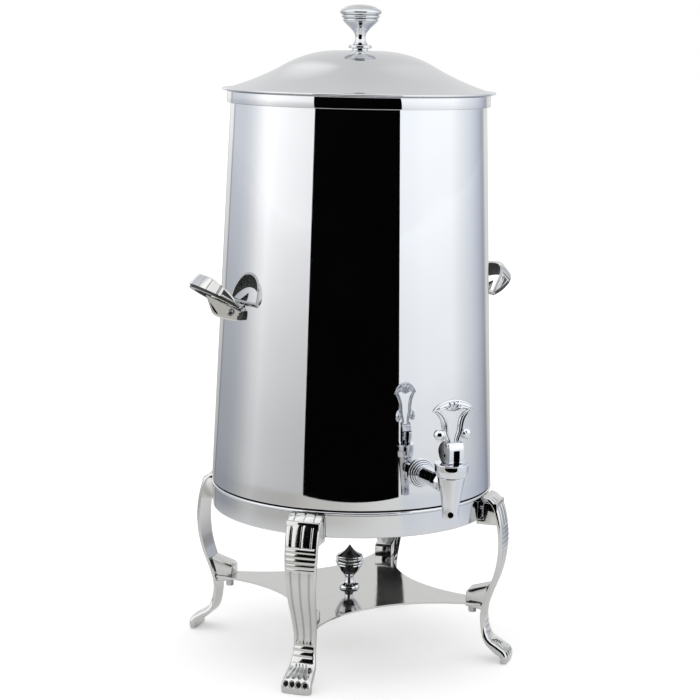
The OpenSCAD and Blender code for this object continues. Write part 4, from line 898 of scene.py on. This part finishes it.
def cutAway(piece, bm):  # takes a shape out of a piece for good
    cutter = linkShape("cutter", bm)
    cut = piece.modifiers.new("cut", "BOOLEAN")
    cut.operation, cut.solver, cut.object = "DIFFERENCE", "EXACT", cutter
    done = bpy.data.meshes.new_from_object(piece.evaluated_get(bpy.context.evaluated_depsgraph_get()))
    piece.modifiers.clear()
    old, piece.data = piece.data, done
    done.name = old.name
    for spare in (old, cutter.data):
        bpy.data.meshes.remove(spare)


def leaveUnbuffedAndShaded(piece, inside):  # dulls the faces whose middle, in millimetres, lies inside a hollow, and paints shade on them
    mark = piece.data.attributes.new("unbuffedAndShaded", "FLOAT", "FACE")
    mark.data.foreach_set("value", [float(inside(*(face.center / mm))) for face in piece.data.polygons])


def fromTap(x, y):  # distance from the tap's upright axis
    return hypot(x, y + tap["out"])


def makeTapBody():
    upright = [(tap["bore"], tap["seat"]), (tap["bore"], tap["outlet"]), (tap["spoutRadius"], tap["outlet"]),
               (tap["spoutRadius"], tap["coneFoot"]), (tap["coneRadius"], tap["coneTop"]),
               (tap["neck"], tap["coneTop"] + 0.5),
               (tap["neck"], tap["neckTop"]), (tap["chamber"], tap["neckTop"]),
               (tap["chamber"], tap["seat"])]
    bm = turnedShape(upright, {0.5: [1, 2, 4], 3: [3]})
    moveShape(bm, tapAxis)
    body = makePiece(bm, "tapBody", "tap_chrome", "urn", ["tap_body"])
    deep = tap["bore"] + 0.7
    hole = turnedShape([(0, deep), (tap["vent"], deep), (tap["vent"], 9.5), (0, 9.5)], steps=48)
    moveShape(hole, tapAxis @ turnBy(-tap["ventTurn"], "Z")
                        @ shiftBy(0, 0, tap["ventHeight"])
                        @ turnBy(90, "X"))
    cutAway(body, hole)
    # painted shade inside the spout's bore and the chamber
    leaveUnbuffedAndShaded(body, lambda x, y, z: fromTap(x, y) < (
        tap["spoutRadius"] - 0.7 if z < tap["coneFoot"] else tap["chamber"] + 0.1))

    r, out, start = tap["shankRadius"], tap["collarRadius"], tap["collarFrom"]
    thread, back, front, end = tap["thread"], tap["threadFrom"], tap["threadEnd"], tap["shankEnd"]
    shank = [(tap["bore"], back), (thread, back), (thread, front), (r, front), (r, start - 0.6),
             (r - 0.5, start - 0.6), (r - 0.5, start), (out, start), (out, start + 9), (r, start + 11),
             (r, end), (tap["bore"], end)]
    bm = bmesh.new()
    addTurned(bm, shank, tapShank, {0.5: [7, 8]}, 96)
    makePiece(bm, "tapShank", "tap_chrome", "urn", ["tap_body"])


def makeRosette():
    back = tap["rosetteBack"]
    outline, rims = [(7.9, back), (tap["rosette"][0][0], back)], []
    for i, (radius, front) in enumerate(tap["rosette"]):
        rims.append(len(outline))
        outline += [(radius, front), (radius - 1.2, front), (radius - 1.2, front - 1)]
        if i < len(tap["rosette"]) - 1:
            inner = tap["rosette"][i + 1][0]
            outline += [(inner, front - 1)]
    outline += [(7.9, outline[-1][1])]
    bm = bmesh.new()
    addTurned(bm, outline, tapShank, {0.75: rims, 0.35: [i + 1 for i in rims]}, 128)
    rosette = makePiece(bm, "tapRosette", "tap_chrome", "urn", ["tap_escutcheon"])
    # painted shade in the crease under each step
    leaveUnbuffedAndShaded(rosette, lambda x, y, z: 0.6 * any(abs(front - 1 + y) < 0.2
                                                     for radius, front in tap["rosette"]))


def makeBonnet():
    foot, top, disc = tap["bonnetFoot"], tap["bonnetTop"], tap["disc"]
    under = top - tap["discHeight"]
    skirt = smoothLine([(r, foot + share * (under - foot)) for r, share in tap["skirt"]], 3)
    neck, seat = tap["neck"] + tap["fit"], tap["neckTop"] + tap["fit"]
    hole, guide = tap["stemHole"], top - tap["stemGuide"]
    outline = ([(neck, foot)] + skirt
               + [(disc, under + 0.1), (disc, top - 0.5), (disc - 2, top), (hole, top), (hole, guide),
                  (tap["chamber"], guide), (tap["chamber"], seat), (neck, seat)])
    first = len(skirt) + 1
    bm = turnedShape(outline, {0.45: [first, first + 1], 0.6: [1]})
    moveShape(bm, tapAxis)
    bonnet = makePiece(bm, "tapBonnet", "tap_chrome", "urn", ["tap_bonnet"])
    # painted shade down the hole for the stem
    leaveUnbuffedAndShaded(bonnet, lambda x, y, z: fromTap(x, y) < hole + 0.1)


def forkSide():  # [forwards of the pin, above it], with the involute cam below
    rate = tap["lift"] / radians(tap["pull"])
    cam = []
    for i in range(9):
        turn = radians(tap["camShown"] * i / 8)
        reach = tap["camLow"] + rate * turn
        cam.append((reach * sin(turn) + rate * cos(turn),
                    -reach * cos(turn) + rate * sin(turn)))
    return [(-5.85, -tap["camLow"])] + cam[:-1] + smoothLine([cam[-1]] + tap["forkBack"], 5)


def makeFork():
    bm = bmesh.new()
    addSlab(bm, forkSide(), tap["fork"] / 2, 1.1, turnBy(-90, "Z"))
    moveShape(bm, leverPin)
    fork = makePiece(bm, "leverFork", "tap_chrome", "lever", ["tap_lever"])
    half, top = tap["slot"] / 2, tap["slotTop"]
    slot = bmesh.new()
    addSlab(slot, [(-half, -20), (half, -20), (half, top - 0.6), (half - 0.6, top), (0.6 - half, top),
                   (-half, top - 0.6)], 30, 0.01)
    moveShape(slot, leverPin)
    cutAway(fork, slot)
    hole = bmesh.new()
    reach = tap["pinRadius"] + tap["fit"]
    addTurned(hole, [(0, -12), (reach, -12), (reach, 12), (0, 12)],
              leverPin @ turnBy(90, "Y"))
    cutAway(fork, hole)
    # painted shade in the slot and round the pin's hole; the fork's two flat sides are left partly dull and
    # darker
    leaveUnbuffedAndShaded(fork, lambda x, y, z: (abs(x) < half + 0.05 and z < tap["pin"] + top + 0.05) or (
        hypot(y + tap["out"], z - tap["pin"]) < tap["pinRadius"] + 0.12) or (
        0.4 * (abs(x) > tap["fork"] / 2 - 0.6)))


def ribbedBar(path, depth, ribs):  # a bar along [across, up, half width] points, ridged along its faces, with painted shade in the valleys between the ridges
    rings = []
    for i, (x, z, half) in enumerate(path):
        a, b = path[max(i - 1, 0)], path[min(i + 1, len(path) - 1)]
        along = Vector((b[0] - a[0], b[1] - a[1])).normalized()
        ring = []
        for k in range(48):
            turn = 2 * pi * k / 48
            across = copysign(abs(cos(turn)) ** 0.7, cos(turn))
            up = copysign(abs(sin(turn)) ** 0.5, sin(turn))
            valley = 1 - abs(sin(pi * ribs * (across + 1) / 2)) ** 0.7
            thick = up * depth * (1 - 0.42 * valley) * min(1, half / 1.2)
            ring.append((x - along[1] * across * half, -thick, z + along[0] * across * half,
                         0.7 * ease(valley * 1.6 - 0.7) * (abs(across) < 0.9)))
        rings.append(ring)
    return ringsShape(rings)


def makeFan():
    bm = bmesh.new()
    bm.verts.layers.float.new("unbuffedAndShaded")
    top, wide, tip, (underRadius, underAt) = tap["fanTop"], tap["fanHalf"], tap["tipHeight"], tap["fanUnder"]
    bow = (wide ** 2 + (top - tip) ** 2) / (2 * (top - tip))
    path = []
    for i in range(49):
        x = wide * sin(pi / 2 * (i / 24 - 1))
        over = top - bow + sqrt(bow ** 2 - x ** 2)
        under = max(sqrt(underRadius ** 2 - x ** 2) + underAt, tip - 0.6)
        path.append((x, (over + under) / 2, max((over - under) / 2, 0.25)))
    joinShape(bm, ribbedBar(path, tap["fanThick"] / 2, 3))
    across, up, size = tap["ball"]
    ball = [(0, -size)] + [(size * sin(pi * k / 24), -size * cos(pi * k / 24))
                           for k in range(1, 24)] + [(0, size)]
    curl = [(size - 1.2, -0.8), (size + 0.3, -0.8), (size + 0.65, 0), (size + 0.3, 0.8), (size - 1.2, 0.8)]
    for side in (-1, 1):
        strand = smoothLine(tap["strand"], 5)
        joinShape(bm, ribbedBar([(side * x, z, half) for x, z, half in strand], tap["fanThick"] / 2 + 0.3, 2))
        centre = shiftBy(side * across, 0, up)
        addTurned(bm, ball, centre, steps=64)
        addTurned(bm, curl, centre @ turnBy(side * tap["curlTurn"], "Y")
                  @ turnBy(tap["curlLean"], "X"), steps=64)
    wide, long, thick = tap["leaf"]
    for lean in tap["leans"]:
        leaf = [(0, 0)] + [(wide * sin(pi * k / 12) * (0.6 + 0.5 * k / 12), long * k / 12)
                           for k in range(1, 12)] + [(0, long)]
        addTurned(bm, leaf, shiftBy(0, 0, tap["leafFoot"])
                  @ turnBy(lean, "Y") @ Matrix.Diagonal((1, thick / wide * 1.6, 1, 1)), steps=24)
    forward, up = tap["lipAt"]
    half = tap["fork"] / 2 + 0.8
    addTurned(bm, [(0, -half), (tap["lip"], -half), (tap["lip"], half), (0, half)],
              shiftBy(0, -forward, up) @ turnBy(90, "Y"),
              {1.2: [1, 2]}, 64)
    moveShape(bm, leverPin)
    makePiece(bm, "leverFan", "tap_chrome", "lever", ["tap_lever"], sharp=40)


def makePin():
    half = tap["fork"] / 2 - 1.8
    bm = bmesh.new()
    addTurned(bm, [(0, -half), (tap["pinRadius"], -half), (tap["pinRadius"], half), (0, half)],
              leverPin @ turnBy(90, "Y"), {0.35: [1, 2]})
    pin = makePiece(bm, "leverPin", "fastener_steel", "lever", ["lever_pin"])
    # painted shade on the pin's ends, where they sit inside the fork
    leaveUnbuffedAndShaded(pin, lambda x, y, z: abs(x) > half - 0.4)


def makeSpring():  # the wire coil over the stem, made as one fixed shape; the real coil shortens as the stem lifts
    low, high = (Vector(corner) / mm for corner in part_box("return_spring"))
    wire, turns = tap["wire"], tap["coils"]
    coil, rise = (high.x - low.x) / 2 - wire, high.z - low.z - 2 * wire

    def place(u, v):
        along, about = 2 * pi * turns * v, 2 * pi * u
        reach = coil + wire * cos(about)
        return (reach * cos(along), reach * sin(along) - tap["out"],
                low.z + wire + rise * v + wire * sin(about), 0)

    bm = wrappedShape(12, 32 * turns, place)
    piece = makePiece(bm, "returnSpring", "fastener_steel", "urn", ["return_spring"])
    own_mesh(piece)


makeTapBody()
makeRosette()
makeBonnet()
makeFork()
makeFan()
makePin()
makeSpring()
print("urn: tap made")


# Studio: a white floor, a black flag that only reflections see, and surroundings that give reflections
# a brightness and tint by direction. The camera sees plain white behind the urn.

studio = {
    "floorSize": 30,
    "flagAway": 0.9, "flagHalfWidth": 0.66, "flagHeight": 1.0, "flagLean": 0.08,
    "paper": "#F2F2F2", "glow": 0.3,  # of the floor, to the camera only
    # round the urn from behind it, over its left side to the front and its right side: turn, brightness, tint
    "round": [
        (-180, 0.76, "#FFFFFF"), (-167, 0.8, "#FFFFFF"), (-160, 1.08, "#FFFFFF"), (-148, 1.08, "#FFFFFF"),
        (-145, 0.5, "#EEF0F8"), (-142, 0.86, "#F3F7FF"), (-119, 0.93, "#F3F7FF"), (-110, 1.0, "#F7FAFF"),
        (-102, 1.12, "#FBFCFF"), (-92, 1.36, "#FFFFFF"), (-83, 1.52, "#FFFFFF"), (-74, 1.4, "#FFFFFF"),
        (-60, 1.3, "#FFFFFF"), (-42, 1.2, "#FFFFFF"), (42, 1.32, "#F9FCFF"), (60, 1.36, "#FCFDFF"),
        (89, 1.38, "#FBFDFF"), (102, 1.2, "#F9FBFF"), (114, 1.08, "#F3F8FF"), (123, 0.95, "#F0F5FF"),
        (134, 0.78, "#E9EDFF"), (141, 0.56, "#EFF2FA"), (146, 0.6, "#FFFFFF"), (149, 0.9, "#FFFFFF"),
        (160, 0.88, "#FFFFFF"), (167, 0.8, "#FFFFFF"), (180, 0.76, "#FFFFFF")],
    # across the floor to the left and to the right: metres from the urn and brightness
    "falloffLeft": [(0.9, 0.5), (1.7, 0.53), (2.9, 0.61), (6, 0.76), (14, 0.9)],
    "falloffRight": [(0.9, 0.66), (1.7, 0.71), (2.9, 0.82), (7, 0.9), (14, 0.97)],
    # close to the urn, turn, brightness and tint that the floor adds in reflections
    "tablePeak": 1.1,
    "table": [(-110, 0.86, "#FFFFFF"), (-70, 0.84, "#FFFDFA"), (-46, 0.9, "#FFFCF6"), (-30, 1.06, "#FFFCF6"),
              (36, 1.04, "#FFFCF6"), (40, 0.98, "#FAFCFF"), (80, 1.0, "#F6F9FF")],
    # up from the horizon: degrees and brightness
    "rise": [(-4, 0.9), (2, 1), (8, 1.0), (14, 1.04), (30, 1.0), (50, 0.96), (90, 0.97)],
    "contact": (0.3, 0.75),  # metres over which the lit paper gives way to the falloff in reflections
    "tableEnd": (0.9, 1.5),
}


def towardsCamera(away, aside, height):
    return turnBy(cameraPlace["round"], "Z") @ Vector((aside, -away, height))


def stageSheet(name, corners, finish):
    bm = bmesh.new()
    bm.faces.new([bm.verts.new(c) for c in corners])
    sheet = linkShape(name, bm)
    sheet.data.materials.append(finish)
    return sheet


def roundShare(tree, vector):
    # 0 to 1 round the urn from behind it, where 0.5 faces the camera, and the height
    turned = addNode(tree, "Mapping", {"Rotation": (0, 0, -radians(cameraPlace["round"]))},
                     {"Vector": vector})
    way = addNode(tree, "SeparateXYZ", links={0: turned})
    back = addNode(tree, "Math", {1: -1}, {0: way.outputs["Y"]}, operation="MULTIPLY")
    turn = addNode(tree, "Math", links={0: way.outputs["X"], 1: back}, operation="ARCTAN2")
    share = addNode(tree, "Math", {1: 0.5 / pi, 2: 0.5}, {0: turn}, operation="MULTIPLY_ADD")
    return share, way.outputs["Z"]


def roundStops(line, peak):
    return [(turn / 360 + 0.5, [c * level / peak for c in colourOf(tint)]) for turn, level, tint in line]


peak = max(level for turn, level, tint in studio["round"])


def floorFinish():
    # White paper: it keeps the shadow for the camera, and in reflections it is dimmer the nearer it lies
    finish, tree, place = newFinish("paperSweep")
    paper = addNode(tree, "BsdfDiffuse", {"Color": colourOf(studio["paper"])})
    lift = addNode(tree, "Emission", {"Color": colourOf("#FFFFFF"), "Strength": studio["glow"]})
    seen = addNode(tree, "AddShader", links={0: paper, 1: lift})
    away = addNode(tree, "VectorMath", links={0: place}, operation="LENGTH").outputs["Value"]
    share, tablePeak = roundShare(tree, place)[0], studio["tablePeak"]
    far = studio["falloffLeft"][-1][0]
    part = addNode(tree, "Math", {1: far}, {0: away}, operation="DIVIDE")
    left, right = (addNode(tree, "ValToRGB", links={0: part},
                           stops=[(at / far, [level] * 3) for at, level in studio[name]])
                   for name in ("falloffLeft", "falloffRight"))
    side = addNode(tree, "MapRange", {"From Min": 0.45, "From Max": 0.58}, {"Value": share},
                   interpolation_type="SMOOTHSTEP")
    fall = mixColours(tree, side, left, right)
    surround = addNode(tree, "ValToRGB", links={0: share}, stops=roundStops(studio["round"], peak))
    shade = mixColours(tree, 1, surround, fall, "MULTIPLY")
    table = addNode(tree, "ValToRGB", links={0: share}, stops=roundStops(studio["table"], tablePeak))
    near, wide = studio["tableEnd"]
    close = addNode(tree, "MapRange", {"From Min": near, "From Max": wide, "To Min": 1, "To Max": 0},
                    {"Value": away}, interpolation_type="SMOOTHSTEP")
    lit = mixColours(tree, close, [1 / tablePeak] * 3 + [1], table)
    tinted = mixColours(tree, 1, shade, lit, "MULTIPLY")
    mirrored = addNode(tree, "Emission", {"Strength": peak * tablePeak}, {"Color": tinted})
    near, wide = studio["contact"]
    fade = addNode(tree, "MapRange", {"From Min": near, "From Max": wide}, {"Value": away},
                   interpolation_type="SMOOTHSTEP")
    glossy = addNode(tree, "MixShader", links={0: fade, 1: paper, 2: mirrored})
    path = addNode(tree, "LightPath")
    plain = addNode(tree, "MixShader", links={0: path.outputs["Is Camera Ray"], 1: paper, 2: seen})
    closeFinish(tree, addNode(tree, "MixShader", links={0: path.outputs["Is Glossy Ray"], 1: plain,
                                                                  2: glossy}))
    return finish


def flagFinish():
    # Black velvet: gives the polished steel its dark column
    finish, tree = newFinish("blackVelvet")[:2]
    closeFinish(tree, addNode(tree, "BsdfDiffuse", {"Color": colourOf("#050505")}))
    return finish


half = studio["floorSize"] / 2
stageSheet("studioFloor", [(-half, -half, 0), (half, -half, 0), (half, half, 0), (-half, half, 0)],
           floorFinish())
corners = ((-1, 0), (1, 0), (1 - studio["flagLean"] / studio["flagHalfWidth"], studio["flagHeight"]),
           (-1, studio["flagHeight"]))
flag = stageSheet("darkFlag", [towardsCamera(studio["flagAway"], side * studio["flagHalfWidth"], height)
                               for side, height in corners], flagFinish())
flag.visible_camera = False
flag.visible_diffuse = False
flag.visible_shadow = False

world = bpy.data.worlds.new("whiteStudio")
bpy.context.scene.world = world
world.use_nodes = True
tree = world.node_tree
tree.nodes.clear()
share, up = roundShare(tree, addNode(tree, "TexCoord").outputs["Generated"])
angle = addNode(tree, "Math", links={0: up}, operation="ARCSINE")
low, high = studio["rise"][0][0], studio["rise"][-1][0]
lift = addNode(tree, "MapRange", {"From Min": radians(low), "From Max": radians(high)},
               {"Value": angle})
risePeak = max(level for at, level in studio["rise"])
rise = addNode(tree, "ValToRGB", links={0: lift},
               stops=[((at - low) / (high - low), [level / risePeak] * 3) for at, level in studio["rise"]])
surround = addNode(tree, "ValToRGB", links={0: share}, stops=roundStops(studio["round"], peak))
shade = mixColours(tree, 1, surround, rise, "MULTIPLY")
mirrored = addNode(tree, "Background", {"Strength": peak * risePeak}, {"Color": shade})
plain = addNode(tree, "Background", {"Color": colourOf("#FFFFFF"), "Strength": 1})
path = addNode(tree, "LightPath")
both = addNode(tree, "MixShader", links={0: path.outputs["Is Glossy Ray"], 1: plain, 2: mirrored})
addNode(tree, "OutputWorld", links={"Surface": both})
bpy.context.scene.view_settings.view_transform = "Standard"
print("urn: studio ready")
